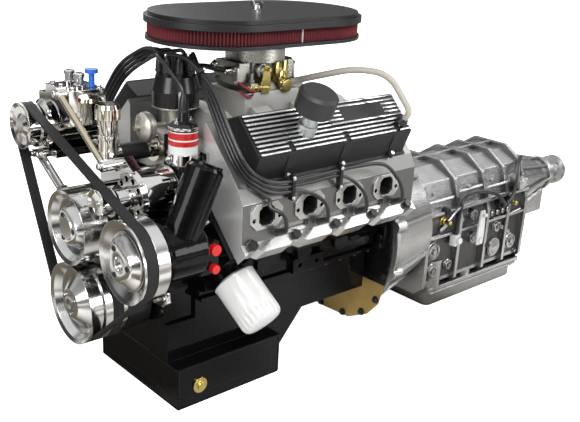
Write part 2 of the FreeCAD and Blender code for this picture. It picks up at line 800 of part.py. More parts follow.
def make_belts():
    crank = (0, 0, value("crank_pulley_radius"))
    steer = (value("steering_x"), value("steering_z"), value("steering_pulley_radius"))
    upper = (value("compressor_x"), value("compressor_z"), value("compressor_pulley_radius"))
    pump = (0, value("pump_pulley_height"), value("pump_pulley_radius"))
    loops = [belt([crank, steer, upper], "front_belt"), belt([crank, pump], "rear_belt")]
    free_shape("drive_belts", Part.makeCompound(loops))


def make_water_pump():
    pump = Piece("water_pump")
    wide = [(40, "pump_pulley_height - 52"), (60, "pump_pulley_height - 20"), (58, "pump_pulley_height + 22"),
            (34, "pump_pulley_height + 50")]
    pump.pad("XZ_Plane", [mirrored(wide)], -112, "-cover_depth - 0.3")
    pump.pad("XZ_Plane", [circle(0, "pump_pulley_height", "pump_snout_radius")], -140, -110)
    pump.pad("YZ_Plane", [circle(-94, "pump_pulley_height - 10", 17)], -120, -50)
    pump.pocket("YZ_Plane", [circle(-94, "pump_pulley_height - 10", 13)], -121, -70)
    pump.pocket("XZ_Plane", [circle(0, "pump_pulley_height", 12.3)], -141, -80)
    nodes["water_pump_pulley"].Placement = Placement(point(0, 0, "pump_pulley_height"), Rotation())


def make_steering_pump():
    pump = Piece("steering_pump_body", exported=False)
    pump.turn("YZ_Plane", [polygon((-166, 9.7), (-166, 22), (-158, 26), (-150, 52), (-142, 58), (-70, 58), (-62, 50),
                                   (-62, 0), (-150, 0), (-150, 9.7))])
    place(pump.body, "steering_x", 0, "steering_z")
    tank = Piece("steering_reservoir", exported=False)
    tank.turn("XZ_Plane", [polygon((0, 0), (30, 0), (36, 8), (36, 136), (31, 142), (31, 148), (0, 148))],
              axis="V_Axis")
    tank.body.Placement = Placement(Vector(205, -106, 180), Rotation(Vector(1, 0, 0), -24))
    fitting = Piece("steering_valve", exported=False)
    fitting.pad("YZ_Plane", [rectangle(-64, -22, 96, 160)], 186, 215)
    fuse("power_steering_pump", [pump.body, tank.body, fitting.body])


def make_compressor():
    housing = Piece("compressor")
    housing.turn("YZ_Plane", [polygon((-178, 16), (-178, 40), (-168, 50), (-60, 50), (-52, 44), (-52, 0), (-150, 0),
                                      (-150, 16))])
    housing.pad("XZ_Plane", [rectangle(20, 118, 17, 87)], -170, -90)
    housing.pad("XZ_Plane", [rectangle(-30, 40, 30, 62)], -160, -70)
    place(housing.body, "compressor_x", 0, "compressor_z")
    blue = Piece("service_cap", exported=False)
    blue.turn("XZ_Plane", [polygon((0, 0), (6, 0), (6, 26), (13, 28), (13, 36), (0, 36))], axis="V_Axis")
    place(blue.body, "compressor_x + 96", -108, "compressor_z + 87.3")
    caps = [blue.body]
    for height, radius in ((147, 11), (108, 9)):
        caps.append(cylinder(215.3, -36, height, "X", radius, 12))
    group("port_caps", caps)


def make_alternator():
    housing = Piece("alternator_housing", exported=False)
    housing.turn("YZ_Plane", [polygon((-178, 8), (-178, 20), (-146, 22), (-146, 46), (-138, 54), (-68, 54), (-58, 46),
                                      (-58, 0), (-150, 0), (-150, 8))])
    housing.pad("XZ_Plane", [polygon((-39, 57), (-24, 73), (10, 52), (-24, 30))], -145, -125)
    housing.pocket("XZ_Plane", ring_of(10, 36, 6), -147, -128)
    place(housing.body, "alternator_x", 0, "alternator_z")
    slots = [rib("alternator_slot", [(-100, 48), (-74, 48), (-74, 60), (-100, 60)], 7, angle, "alternator_x", "alternator_z")
             for angle in range(0, 360, 24)]
    cut("alternator", housing.body, slots)


# --- Heads and valve covers ---------------------------------------------------------------

def outer_face(height):
    """Where the upright exhaust face stands across the bank, at a height on it."""
    return "exhaust_face / %s - (%s)" % (ROOT_HALF, height)


def inner_face(height):
    """Where the upright intake face stands across the bank, at a height on it."""
    return "intake_half_width / %s - (%s)" % (ROOT_HALF, height)


def make_gaskets():
    sheets = []
    for side in SIDES:
        gasket = Piece("gasket_" + side, exported=False)
        gasket.pad("XY_Plane", [rectangle("-deck_half_width", "deck_half_width", "-head_length / 2",
                                          "head_length / 2")], "deck_height", "deck_height + gasket_thickness")
        for step in range(4):
            y = "%.1f * bore_spacing" % (step - 1.5)
            gasket.pocket("XY_Plane", [circle(0, y, "bore_radius + 1")], "deck_height - 1", "deck_height + 3")
        gasket.body.Placement = bank_placement(side)
        sheets.append(gasket.body)
    group("head_gaskets", sheets)


def port_middle(side, step):
    """Where an exhaust port stands along the engine."""
    return "%s + %d * ((%.1f) * port_pitch - port_shift)" % (bank_middle(side), SIDES[side], step - 1.5)


def across(side, near, far):
    """A span across the engine on one side, from its lower end to its upper."""
    return (near, far) if SIDES[side] > 0 else ("-(%s)" % far, "-(%s)" % near)


def make_heads():
    for side in SIDES:
        head = Piece("head_casting_" + side, exported=False)
        floor = "deck_height + gasket_thickness"
        outline = polygon((inner_face(floor), floor), ("head_ledge_edge", floor), ("head_ledge_edge", "head_ledge_height"),
                          (outer_face("head_ledge_height"), "head_ledge_height"),
                          (outer_face("exhaust_face_top"), "exhaust_face_top"), ("-rail_outer", "rail_height"),
                          ("-rail_inner", "rail_height"), (inner_face("rail_height - 12"), "rail_height - 12"))
        head.pad("XZ_Plane", [outline], "-head_length / 2", "head_length / 2")
        bolts = ["%d * bore_spacing" % (step - 2) for step in range(5)]
        plugs = ["%.1f * bore_spacing" % (step - 1.5) for step in range(4)]
        for y in bolts:
            head.pocket("XY_Plane", [circle("head_bolt_line", y, 13)], "head_ledge_height", "head_ledge_height + 18")
            head.pocket("XY_Plane", [circle("head_bolt_line", y, 5.5)], "head_ledge_height - 20", "head_ledge_height + 1")
            head.pocket("XY_Plane", [polygon(("head_ledge_edge + 1", "%s - 24" % y), ("head_ledge_edge + 1", "%s + 24" % y),
                                             ("head_ledge_edge - 7", "%s + 12" % y),
                                             ("head_ledge_edge - 7", "%s - 12" % y))],
                        "deck_height", "head_ledge_height + 1")
        low, high = "head_ledge_height + 2", "head_ledge_height + 17"
        valley = polygon((outer_face(low) + " + 1", low), (outer_face(high) + " + 1", high),
                         (outer_face(high) + " - 12", high), (outer_face(low) + " - 12", low))
        for here, after in zip(plugs, plugs[1:]):
            head.pocket("XZ_Plane", [valley], "%s + 17" % here, "%s - 17" % after)
        head.body.Placement = bank_placement(side)
        pads = Piece("exhaust_flanges_" + side, exported=False)
        ports = Piece("exhaust_ports_" + side, exported=False)
        for step in range(4):
            y = port_middle(side, step)
            pads.pad("YZ_Plane", [chamfered("%s - flange_reach" % y, "%s + flange_reach" % y, "flange_bottom",
                                            "flange_top", 14)], *across(side, "exhaust_face - 6", "exhaust_face + flange_rise"))
            ports.pad("YZ_Plane", [chamfered("%s - port_width / 2" % y, "%s + port_width / 2" % y, "port_bottom",
                                             "port_bottom + port_height", 9)],
                      *across(side, "exhaust_face - 46", "exhaust_face + flange_rise + 1"))
            holes = [circle("%s %s flange_bolt_pitch / 2" % (y, sign), "port_bottom + port_height / 2 - 6",
                            "flange_bolt_radius") for sign in "+-"]
            ports.pad("YZ_Plane", holes, *across(side, "exhaust_face - 20", "exhaust_face + flange_rise + 1"))
        whole = fuse("head_with_flanges_" + side, [head.body, pads.body], exported=False)
        cut("cylinder_head_" + side, whole, [ports.body])


def make_valve_covers():
    for side in SIDES:
        cover = Piece("cover_casting_" + side if side == "left" else "valve_cover_right", side != "left")
        flange_top = "rail_height + seal_gap + cover_flange"
        reach = "cover_length / 2"
        cover.pad("XY_Plane", [rectangle("-rail_inner", "-rail_outer", "-%s" % reach, reach)],
                  "rail_height + seal_gap", flange_top)
        shell = polygon(("-rail_inner + 6", flange_top), ("-rail_outer - 6", flange_top),
                        ("-cover_top_outer", "cover_height"), ("-cover_top_inner", "cover_height"))
        cover.pad("XZ_Plane", [shell], "-%s + 6" % reach, "%s - 6" % reach)
        hollow = polygon(("-rail_inner + 6 + cover_skin", "rail_height"),
                         ("-rail_outer - 6 - cover_skin", "rail_height"),
                         ("-cover_top_outer - cover_skin", "cover_height - cover_skin"),
                         ("-cover_top_inner + cover_skin", "cover_height - cover_skin"))
        cover.pocket("XZ_Plane", [hollow], "-%s + 9" % reach, "%s - 9" % reach)
        fins = []
        for step in range(10):
            x = "-cover_top_inner + 4 + %d * fin_pitch" % step
            fins.append(rectangle(x, "%s + fin_width" % x, "-%s + 10" % reach, "%s - 10" % reach))
        cover.pad("XY_Plane", fins, "cover_height - 1", "cover_height + fin_height")
        for y in COVER_STRAPS:
            cover.pocket("XY_Plane", [rectangle("-cover_top_outer - 2.5 * fin_pitch", "-cover_top_outer + 1", y - 7, y + 7)],
                         "cover_height", "cover_height + fin_height + 1")
            foot = "%s + 18" % flange_top
            strap = polygon(("-rail_outer - 10.6", foot), ("-cover_top_outer + 3", "cover_height - 4"),
                            ("-cover_top_outer - 6", "cover_height - 4"), ("-rail_outer - 18", foot))
            cover.pad("XZ_Plane", [strap], y - 9, y + 9)
            cover.pad("XY_Plane", [circle("-rail_outer - 2", y, 7)], flange_top, "%s + 8" % flange_top)
        panel = rectangle("-cover_top_inner + 3", "-cover_top_outer - 42", -6, 206)
        cover.pad("XY_Plane", [panel], "cover_height - 1", "cover_height + fin_height")
        cover.pad("XY_Plane", [circle(-72, 190, 13)], "cover_height - 1", "cover_height + fin_height + 1")
        cover.body.Placement = bank_placement(side)
        if side == "left":
            neck = doc.addObject("Part::Cylinder", "filler_neck")
            neck.Radius = 20
            neck.Height = 26
            neck.Placement = breather_seat() * Placement(Vector(0, 0, -26), Rotation())
            fuse("valve_cover_left", [cover.body, neck])


# --- Intake, carburettor and air cleaner --------------------------------------------------

def make_intake():
    intake = Piece("intake_manifold")
    middle = MIDDLE_MAIN
    half = [("intake_half_width - seal_gap", "intake_floor + 2"), ("intake_half_width - seal_gap", 300),
            (80, 310)]
    intake.pad("XZ_Plane", [mirrored(half)], 8, "block_length - 20")
    runner = [("intake_half_width - seal_gap", 300), ("intake_half_width - seal_gap", 344), (70, 365), (30, 371)]
    lower = [("-(%s)" % x, z) for x, z in reversed(runner)]
    for step in range(4):
        y = "%s + %.2f * bore_spacing" % (middle, (step - 1.5) * 0.98)
        intake.pad("XZ_Plane", [polygon(*runner, *lower)], "%s - 22" % y, "%s + 22" % y)
    intake.pad("XY_Plane", [rectangle("-pad_half_width", "pad_half_width", "carburettor_y - pad_half_length",
                                      "carburettor_y + pad_half_length")], 300, "carburettor_pad")
    for x in ("-23", "23"):
        for y in ("carburettor_y - 23", "carburettor_y + 23"):
            intake.pocket("XY_Plane", [circle(x, y, 20)], 330, "carburettor_pad + 1")
    bore = circle(0, "distributor_y", "distributor_shaft_radius + 8")
    intake.pocket("XY_Plane", [bore], "intake_floor - 1", 320)


def make_carburettor():
    body = Piece("carburettor")
    pad_top = "carburettor_pad + seal_gap"
    body.pad("XY_Plane", [rectangle("-pad_half_width + 4", "pad_half_width - 4", "carburettor_y - 56", "carburettor_y + 56")],
             pad_top, "%s + 18" % pad_top)
    body.pad("XY_Plane", [rectangle(-46, 46, "carburettor_y - 44", "carburettor_y + 44")],
             "%s + 10" % pad_top, "carburettor_top - 30")
    body.pad("XY_Plane", [circle(0, "carburettor_y", 64)], "carburettor_top - 36", "carburettor_top + 8")
    body.pocket("XY_Plane", [circle(0, "carburettor_y", 58)], "carburettor_top - 14", "carburettor_top + 9")
    for x in ("-23", "23"):
        for y in ("carburettor_y - 23", "carburettor_y + 23"):
            body.pocket("XY_Plane", [circle(x, y, 19)], "carburettor_pad", "carburettor_top + 9")
    for low, high in ((-74, -43), (43, 74)):
        body.pad("XZ_Plane", [rectangle(-40, 40, "%s + 19" % pad_top, "carburettor_top - 37")],
                 "carburettor_y + %d" % low, "carburettor_y + %d" % high)
    shaft = "%s + 9" % pad_top
    body.pocket("YZ_Plane", [circle("carburettor_y - 23", shaft, 4.3)], -61, 61)
    body.pad("XY_Plane", [circle(0, "carburettor_y", 3.2)], "carburettor_top - 40", "lid_top + 12")
    body.pad("XZ_Plane", [rectangle(-60, 60, "carburettor_top - 22", "carburettor_top - 16")],
             "carburettor_y - 5", "carburettor_y + 5")
    lever = Piece("throttle_lever")
    lever.turn("XZ_Plane", [rectangle(-64, 68, 0, 4)])
    lever.pad("YZ_Plane", [polygon((-9, -14), (9, -14), (15, 6), (9, 44), (-3, 46), (-11, 8))], 62, 66)
    lever.pad("YZ_Plane", [circle(3, 38, 4)], 64, 76)
    place(lever.body, 0, "carburettor_y - 23", shaft)


def stadium_pad(piece, radius, low, high, cutting=False):
    """A long oval about the carburettor, made of a slab and two round ends."""
    act = piece.pocket if cutting else piece.pad
    act("XY_Plane", [rectangle("-(%s)" % radius, radius, "carburettor_y - air_cleaner_reach",
                               "carburettor_y + air_cleaner_reach")], low, high)
    for sign in ("-", "+"):
        act("XY_Plane", [circle(0, "carburettor_y %s air_cleaner_reach" % sign, radius)], low, high)


def make_air_cleaner():
    base = Piece("air_cleaner_base")
    stadium_pad(base, "air_cleaner_radius - 3", "filter_bottom - 7", "filter_bottom")
    base.pad("XY_Plane", [circle(0, "carburettor_y", 76)], "carburettor_top - 6", "filter_bottom - 6")
    base.pocket("XY_Plane", [circle(0, "carburettor_y", "64 + seal_gap")], "carburettor_top - 7", "filter_bottom + 1")
    element = Piece("air_filter")
    stadium_pad(element, "air_cleaner_radius - 7", "filter_bottom + seal_gap", "filter_top")
    stadium_pad(element, "air_cleaner_radius - 32", "filter_bottom", "filter_top + 1", cutting=True)
    lid = Piece("air_cleaner_lid")
    stadium_pad(lid, "air_cleaner_radius", "filter_top + seal_gap", "lid_top - 8")
    stadium_pad(lid, "air_cleaner_radius - 8", "lid_top - 9", "lid_top")
    lid.pocket("XY_Plane", [circle(0, "carburettor_y", 4)], "filter_top", "lid_top + 1")
    nut = Piece("wing_nut")
    nut.turn("XZ_Plane", [polygon((3.6, 0), (10, 0), (8, 9), (3.6, 9))], axis="V_Axis")
    for sign in ("", "-"):
        nut.pad("XZ_Plane", [polygon((sign + "6", 1), (sign + "20", 8), (sign + "20", 17), (sign + "14", 17), (sign + "6", 8))],
                -1.6, 1.6)
    place(nut.body, 0, "carburettor_y", "lid_top + seal_gap")


# --- Ignition -----------------------------------------------------------------------------

def make_distributor():
    housing = Piece("distributor_housing")
    housing.turn("XZ_Plane", [polygon((6.3, 160), ("distributor_shaft_radius", 160), ("distributor_shaft_radius", 322),
                                      (27, 330), (27, 372), (46, 372), (46, "distributor_cap_bottom"),
                                      (6.3, "distributor_cap_bottom"))], axis="V_Axis")
    housing.pad("XZ_Plane", [circle(0, 338, 5)], -62, -20)
    housing.pad("XZ_Plane", [circle(0, 338, 28)], -78, -62)
    housing.pad("XZ_Plane", [circle(0, 338, 6)], -96, -77)
    place(housing.body, 0, "distributor_y", 0)
    shaft = Piece("distributor_shaft")
    shaft.turn("XZ_Plane", [polygon((0, 147.5), (12, 147.5), (12, 159.5), (6, 159.5), (6, "distributor_cap_bottom + 4"),
                                    (19, "distributor_cap_bottom + 6"), (19, "distributor_cap_bottom + 20"),
                                    (8, "distributor_cap_bottom + 34"), (0, "distributor_cap_bottom + 34"))], axis="V_Axis")
    shaft.pad("XY_Plane", [rectangle(0, 34, -7, 7)], "distributor_cap_bottom + 8", "distributor_cap_bottom + 18")
    place(shaft.body, 0, "distributor_y", 0)
    cap = Piece("distributor_cap")
    cap.turn("XZ_Plane", [polygon((0, "distributor_cap_bottom + seal_gap"), ("distributor_cap_radius", "distributor_cap_bottom + seal_gap"),
                                  ("distributor_cap_radius", "distributor_cap_bottom + 30"),
                                  ("distributor_cap_radius - 8", "distributor_cap_top - 16"),
                                  ("distributor_cap_radius - 16", "distributor_cap_top - 12"), (0, "distributor_cap_top - 12"))],
             axis="V_Axis")
    towers = [circle("33 * cos(%d)" % angle, "33 * sin(%d)" % angle, 6.5) for angle in TOWER_ANGLES]
    cap.pad("XY_Plane", towers + [circle(0, 0, 7)], "distributor_cap_top - 20", "distributor_cap_top")
    cap.pocket("XY_Plane", [circle(0, 0, 38)], "distributor_cap_bottom", "distributor_cap_bottom + 36")
    place(cap.body, 0, "distributor_y", 0)


def make_coil():
    can = Piece("ignition_coil")
    can.turn("XZ_Plane", [polygon((0, "coil_bottom"), ("coil_radius - 4", "coil_bottom"), ("coil_radius", "coil_bottom + 8"),
                                  ("coil_radius", "coil_top - 6"), ("coil_radius - 6", "coil_top"), (12, "coil_top + 3"),
                                  (9, "coil_top + 26"), (0, "coil_top + 26"))], axis="V_Axis")
    place(can.body, "coil_x", "coil_y", 0)


# --- Pan, filter and plates ---------------------------------------------------------------

def make_oil_pan():
    pan = Piece("oil_pan")
    rail = "rail_half_width + 8"
    front = "sump_front"
    pan.pad("XY_Plane", [rectangle("-(%s)" % rail, rail, 0, "block_length")], -8, -0.3)
    pan.pad("XY_Plane", [rectangle(-112, 112, front, "block_length - 14")], "-pan_floor", "-cover_bottom")
    pan.pad("XY_Plane", [rectangle(-112, 112, 0, "block_length - 14")], "-cover_bottom - 1", "-6")
    pan.pad("XY_Plane", [rectangle("-sump_half_width", "sump_half_width", front, "sump_rear")],
            "-sump_depth", "-sump_top")
    slope = polygon((front, "-sump_depth"), ("sump_rear", "-sump_depth"), ("sump_rear + 100", "-pan_floor"),
                    (front, "-pan_floor + 2"))
    pan.pad("YZ_Plane", [slope], "-112", 112)
    inside = "112 - pan_wall"
    pan.pocket("XY_Plane", [rectangle("-(%s)" % inside, inside, "%s + pan_wall" % front, "block_length - 14 - pan_wall")],
               "-pan_floor + pan_wall", "-cover_bottom - pan_wall")
    pan.pocket("XY_Plane", [rectangle("-(%s)" % inside, inside, "pan_wall", "block_length - 14 - pan_wall")],
               "-cover_bottom - pan_wall - 1", 1)
    pan.pocket("XZ_Plane", [circle(0, 0, "main_radius + 2")], -1, "block_length")
    pan.pocket("XY_Plane", [rectangle("-sump_half_width + pan_wall", "sump_half_width - pan_wall", "%s + pan_wall" % front,
                                      "sump_rear - pan_wall")], "-sump_depth + pan_wall", "-sump_top - pan_wall")
    pan.pocket("XY_Plane", [rectangle("-(%s)" % inside, inside, "%s + pan_wall" % front, "sump_rear - pan_wall")],
               "-sump_top - pan_wall - 1", "-pan_floor + pan_wall + 1")


def filter_seat():
    """Where the oil filter screws on: low on the left of the block, leaning outwards."""
    return Placement(Vector(172, 47, 52), Rotation(Vector(0, 0, 1), Vector(97, 17, -80)))


def make_oil_filter():
    can = Piece("oil_filter")
    can.turn("XZ_Plane", [polygon((0, 0), (30, 0), (30, 6), ("filter_radius", 6), ("filter_radius", "filter_length - 10"),
                                  ("filter_radius - 9", "filter_length"), (0, "filter_length"))], axis="V_Axis")
    can.body.Placement = filter_seat()


def make_rear_plate():
    plate = Piece("block_plate")
    outline = polygon((-150, -120), (-125, -222), (-30, -227), (60, -222), (122, -190), (156, -150),
                      (178, -60), (178, 60), (120, 150), (-120, 150), (-178, 60), (-178, -60))
    plate.pad("XZ_Plane", [outline, circle(0, 0, "rear_flange_radius + 3")], "block_length + seal_gap",
              "block_length + plate_thickness")


def make_oil_pump():
    """The pump under the front main bearing, with its pickup in the sump."""
    body = cylinder(-44, -40, -76, "Y", 22, "first_main - web_thickness / 2 + 40.2")
    tube = cylinder(-44, -10, -196, "Z", 8, 104)
    screen = cylinder(-44, -10, -206, "Z", 32, 12)
    fuse("oil_pump", [body, tube, screen])


def make_drain_plug():
    plug = Piece("drain_plug")
    plug.turn("XZ_Plane", [polygon((0, 0), (17, 0), (17, 4), (9, 5), (9, 11), (0, 12))], axis="V_Axis")
    plug.body.Placement = Placement(point("sump_half_width + seal_gap", -14, -186), ALONG["X"])


def make_water_neck():
    neck = Piece("neck_tube", exported=False)
    neck.turn("XZ_Plane", [polygon((0, 258), (20, 258), (20, 352), (25, 352), (25, 374), (22, 382), (0, 382))], axis="V_Axis")
    place(neck.body, -44, -106, 0)
    elbow = cylinder(-44, -106, 278, "Y", 19, 111)
    flange = cylinder(-44, -4, 278, "Y", 29, 11.7)
    fuse("water_neck", [neck.body, elbow, flange])


def bar(start, end, radius):
    """A round bar between two points of the engine frame."""
    return Part.makeCylinder(radius, (end - start).Length, start, end - start)


def make_brackets():
    """The strut, the arms and the posts that carry the belt-driven units."""
    rear = Vector(0, 1, 0)
    pieces = []
    strut = bar(Vector(-92, -183, 400), Vector(72, -183, 297), 6.5)
    eyes = [Part.makeCylinder(11, 19.7, Vector(-92, -190, 400), rear),
            Part.makeCylinder(11, 44.7, Vector(72, -190, 297), rear)]
    pieces.append(strut.fuse(eyes))
    boss = Part.makeCylinder(13, 14, Vector(-90, -190, 202), rear)
    post = Part.makeCylinder(7, 189.7, Vector(-90, -190, 202), rear)
    arms = [bar(Vector(-200, -183, 256), Vector(-96, -183, 196), 5),
            bar(Vector(-176, -183, 259), Vector(-86, -183, 207), 5)]
    eyes = [Part.makeCylinder(8, 27.7, Vector(x, -190, z), rear) for x, z in ((-200, 256), (-176, 259))]
    pieces.append(boss.fuse([post] + arms + eyes))
    shelf = Part.makeBox(80, 150, 16, Vector(-236, -162, 251))
    toe = Part.makeBox(80, 12, 70, Vector(-236, -24, 200))
    pieces.append(shelf.fuse(toe))
    plate = Part.makeBox(44, 10, 88, Vector(140, -61.7, 96))
    posts = [Part.makeCylinder(9, 52, Vector(x, -52, z), rear) for x, z in ((160, 106), (150, 172))]
    pieces.append(plate.fuse(posts))
    pieces.append(Part.makeCylinder(8, 67.9, Vector(142, -57.7, 245), rear))
    coil = Vector(value("coil_x"), value("coil_y"), 288)
    band = Part.makeCylinder(value("coil_radius + 4"), 20, coil)
    foot = Part.makeBox(40, 4, 20, Vector(coil.x - 4, 3.6, 288)).fuse(Part.makeBox(20, 4, 20, Vector(116, 6.2, 288)))
    hole = Part.makeCylinder(value("coil_radius + seal_gap"), 20, coil)
    pieces.append(band.fuse(foot).cut(hole))
    free_shape("accessory_brackets", Part.makeCompound(pieces))


def plug_seat(side, cylinder_number):
    """Where a spark plug's seat lies on the exhaust face, and the plug's direction."""
    y = "%.1f * bore_spacing" % (SIDES[side] * (cylinder_number - 1.5))
    height = 262 + 24
    seat = on_bank(side, outer_face(height), y, height)
    return seat, Vector(SIDES[side], 0, 0.45).normalize()


def make_spark_plugs():
    plugs = []
    for side in SIDES:
        for number in range(4):
            seat, way = plug_seat(side, number)
            seat = seat + way * 4.4
            hexagon = hexagon_head(seat, way, 9, 8)
            ceramic = Part.makeCylinder(5, 18, seat, way)
            plugs.append(hexagon.fuse(ceramic))
    free_shape("spark_plugs", Part.makeCompound(plugs))


def cord_solid(places, radius):
    """A lead along straight runs joined by the largest tangent arcs that fit."""
    edges = []
    last = places[0]
    radii = []
    for before, corner, after in zip(places, places[1:], places[2:]):
        into = (corner - before).normalize()
        out = (after - corner).normalize()
        turn = into.getAngle(out)
        shorter = min((corner - before).Length, (after - corner).Length)
        tangent = 0.45 * shorter
        bend = tangent / math.tan(turn / 2)
        start = corner - into * tangent
        end = corner + out * tangent
        inward = (out - into).normalize()
        centre = corner + inward * (bend / math.cos(turn / 2))
        middle = centre - inward * bend
        edges.append(Part.LineSegment(last, start).toShape())
        edges.append(Part.Arc(start, middle, end).toShape())
        radii.append(bend)
        last = end
    edges.append(Part.LineSegment(last, places[-1]).toShape())
    path = Part.Wire(edges)
    section = Part.Wire(Part.makeCircle(radius, places[0], places[1] - places[0]))
    tube = path.makePipeShell([section], True, False)
    print("lead radii", [round(bend) for bend in radii],
          "volume ratio %.3f" % (tube.Volume / (math.pi * radius ** 2 * path.Length)))
    return tube


LEAD_RADIUS = 4
LEAD_PITCH = 10
LANE_X = 251
LANE_Z = 251


def lead_route(side, number, tower):
    """A plug lead's route: cap tower, round the front of the bank and back along the head."""
    sign = SIDES[side]
    front = value(bank_middle(side)) - 240
    seat, way = plug_seat(side, number)
    end = seat + way * 24
    offset = number - 1.5
    fall = LEAD_PITCH * offset
    height = LANE_Z + fall
    places = [tower, tower + Vector(0, 0, 29),
              Vector(sign * 68, 14 - 9 * offset, 476 + 5 * offset),
              Vector(sign * (136 + 0.77 * fall), front - 8, 430 + 0.64 * fall),
              Vector(sign * (194 + 0.77 * fall), front - 12, 358 + 0.64 * fall),
              Vector(sign * (239 + 0.7 * fall), front - 4, 293 + 0.7 * fall),
              Vector(sign * LANE_X, front + 56, height)]
    lane = end.y - 62 - places[-1].y
    steps = math.ceil(lane / 105)
    for step in range(1, steps + 1):
        sway = 2.5 * (step % 2)
        places.append(Vector(sign * (LANE_X + sway), front + 56 + lane * step / steps, height - sway))
    places.append(Vector(sign * (LANE_X + 5), end.y - 24, height - 14))
    places.append(end + way * 16 + Vector(0, -3, 34))
    places.append(end + way * 20)
    places.append(end)
    return places


def lead_routes(side):
    """The four routes of one bank, from the front."""
    routes = []
    for number in range(4):
        angle = math.radians(90 - SIDES[side] * (22.5 + 45 * number))
        tower = Vector(33 * math.cos(angle), value("distributor_y") + 33 * math.sin(angle),
                       value("distributor_cap_top + seal_gap"))
        routes.append(lead_route(side, number, tower))
    return routes


def coil_route():
    """The lead from the coil's tower to the middle of the cap."""
    start = point("coil_x", "coil_y", "coil_top + 26 + seal_gap")
    end = point(0, "distributor_y", "distributor_cap_top + seal_gap")
    return [start, start + Vector(0, 0, 36), Vector(44, -36, 474), Vector(0, -26, 482), end + Vector(0, 0, 30), end]


def make_leads():
    leads = [cord_solid(coil_route(), LEAD_RADIUS)]
    for side in SIDES:
        for route in lead_routes(side):
            leads.append(cord_solid(route, LEAD_RADIUS))
    free_shape("ignition_leads", Part.makeCompound(leads))


def breather_seat():
    """The top of the filler neck on the left cover, which leans a little outwards."""
    seat = on_bank("left", -98, -74, "cover_height + fin_height + 12")
    return Placement(seat, Rotation(Vector(0, 1, 0), 22))


def make_breather():
    cap = Piece("breather_cap")
    cap.turn("XZ_Plane", [polygon((0, 0.3), (16, 0.3), (16, 26), (36, 28), (40, 32), (40, 68), (34, 74), (0, 74))],
             axis="V_Axis")
    cap.body.Placement = breather_seat()


def make_pcv_hose():
    start = on_bank("left", -72, 190, "cover_height + fin_height + 1 + seal_gap")
    up = Vector(1, 0, 1).normalize()
    places = [start, start + up * 34, Vector(210, 424, 440), Vector(150, 380, 444), Vector(92, 342, 424),
              Vector(36, 318, 404), Vector(36, 284.5, 404)]
    free_shape("pcv_hose", cord_solid(places, 7))


def make_valve_train():
    """Valve springs and rocker arms under the covers."""
    pieces = []
    for side in SIDES:
        for number in range(8):
            y = "%.1f * bore_spacing / 2" % (number - 3.5)
            seat = on_bank(side, -70, y, "rail_height + seal_gap")
            way = Vector(SIDES[side], 0, 1).normalize()
            spring = Part.makeCylinder(14, 26, seat, way)
            pieces.append(spring)
            arm = Part.makeBox(64, 14, 10, Vector(-58, -7, 26.3))
            arm.Placement = Placement(seat, bank_rotation(side))
            pieces.append(arm)
    free_shape("valve_train", Part.makeCompound(pieces))


def make_separators():
    """Combs that hold the four left leads apart."""
    channels = [cord_solid(route, LEAD_RADIUS + 0.3) for route in lead_routes("left")]
    combs = []
    for y in (120, 250):
        comb = Part.makeBox(13, 7, 50, Vector(246, y, 226))
        combs.append(comb.cut(channels))
    free_shape("wire_separators", Part.makeCompound(combs))


def make_shift_lever():
    lever = Piece("shift_lever")
    lever.turn("XZ_Plane", [rectangle(0.3, 24, 0, 7)])
    lever.pad("YZ_Plane", [polygon((-12, -12), (12, -12), (14, 20), (8, 84), (-8, 84), (-14, 20))], 16, 21)
    lever.pad("YZ_Plane", [circle(0, 74, 5)], 20, 32)
    place(lever.body, "case_half_width", "selector_y", "selector_z")


def make_bolts():
    """The hexagon heads that hold the heads, covers and pans."""
    heads = []
    down = Vector(0, 0, -1)
    forward = Vector(0, -1, 0)
    length = value("block_length")
    for side in SIDES:
        sign = SIDES[side]
        up = Vector(sign, 0, 1).normalize()
        for step in range(5):
            seat = on_bank(side, "head_bolt_line", "%d * bore_spacing" % (step - 2), "head_ledge_height")
            heads.append(hexagon_head(seat, up, 10, 10))
        for y in COVER_STRAPS:
            seat = on_bank(side, "-rail_outer - 2", y, "rail_height + seal_gap + cover_flange + 8")
            heads.append(hexagon_head(seat, up, 4.5, 5))
        for step in range(7):
            seat = Vector(sign * value("rail_half_width"), length * (0.42 + 0.09 * step), -8)
            heads.append(hexagon_head(seat, down, 6, 5))
            seat = Vector(sign * 140, value("case_front") + 60 + step * 58, -value("case_floor") - 6)
            heads.append(hexagon_head(seat, down, 5, 4))
        for z in (14, 34):
            seat = Vector(sign * value("skirt_half_width + 13"), length - 16, z)
            heads.append(hexagon_head(seat, forward, 9, 8))
    for x, z in ((-98, -20), (98, -20), (-98, 24), (98, 24)):
        heads.append(hexagon_head(Vector(x, -value("cover_depth"), z), forward, 7, 6))
    for x, z in ((-46, 130), (46, 130), (-46, 190), (46, 190)):
        heads.append(hexagon_head(Vector(x, -112, z), forward, 7, 6))
    free_shape("bolts", Part.makeCompound(heads))


# --- Transmission -------------------------------------------------------------------------

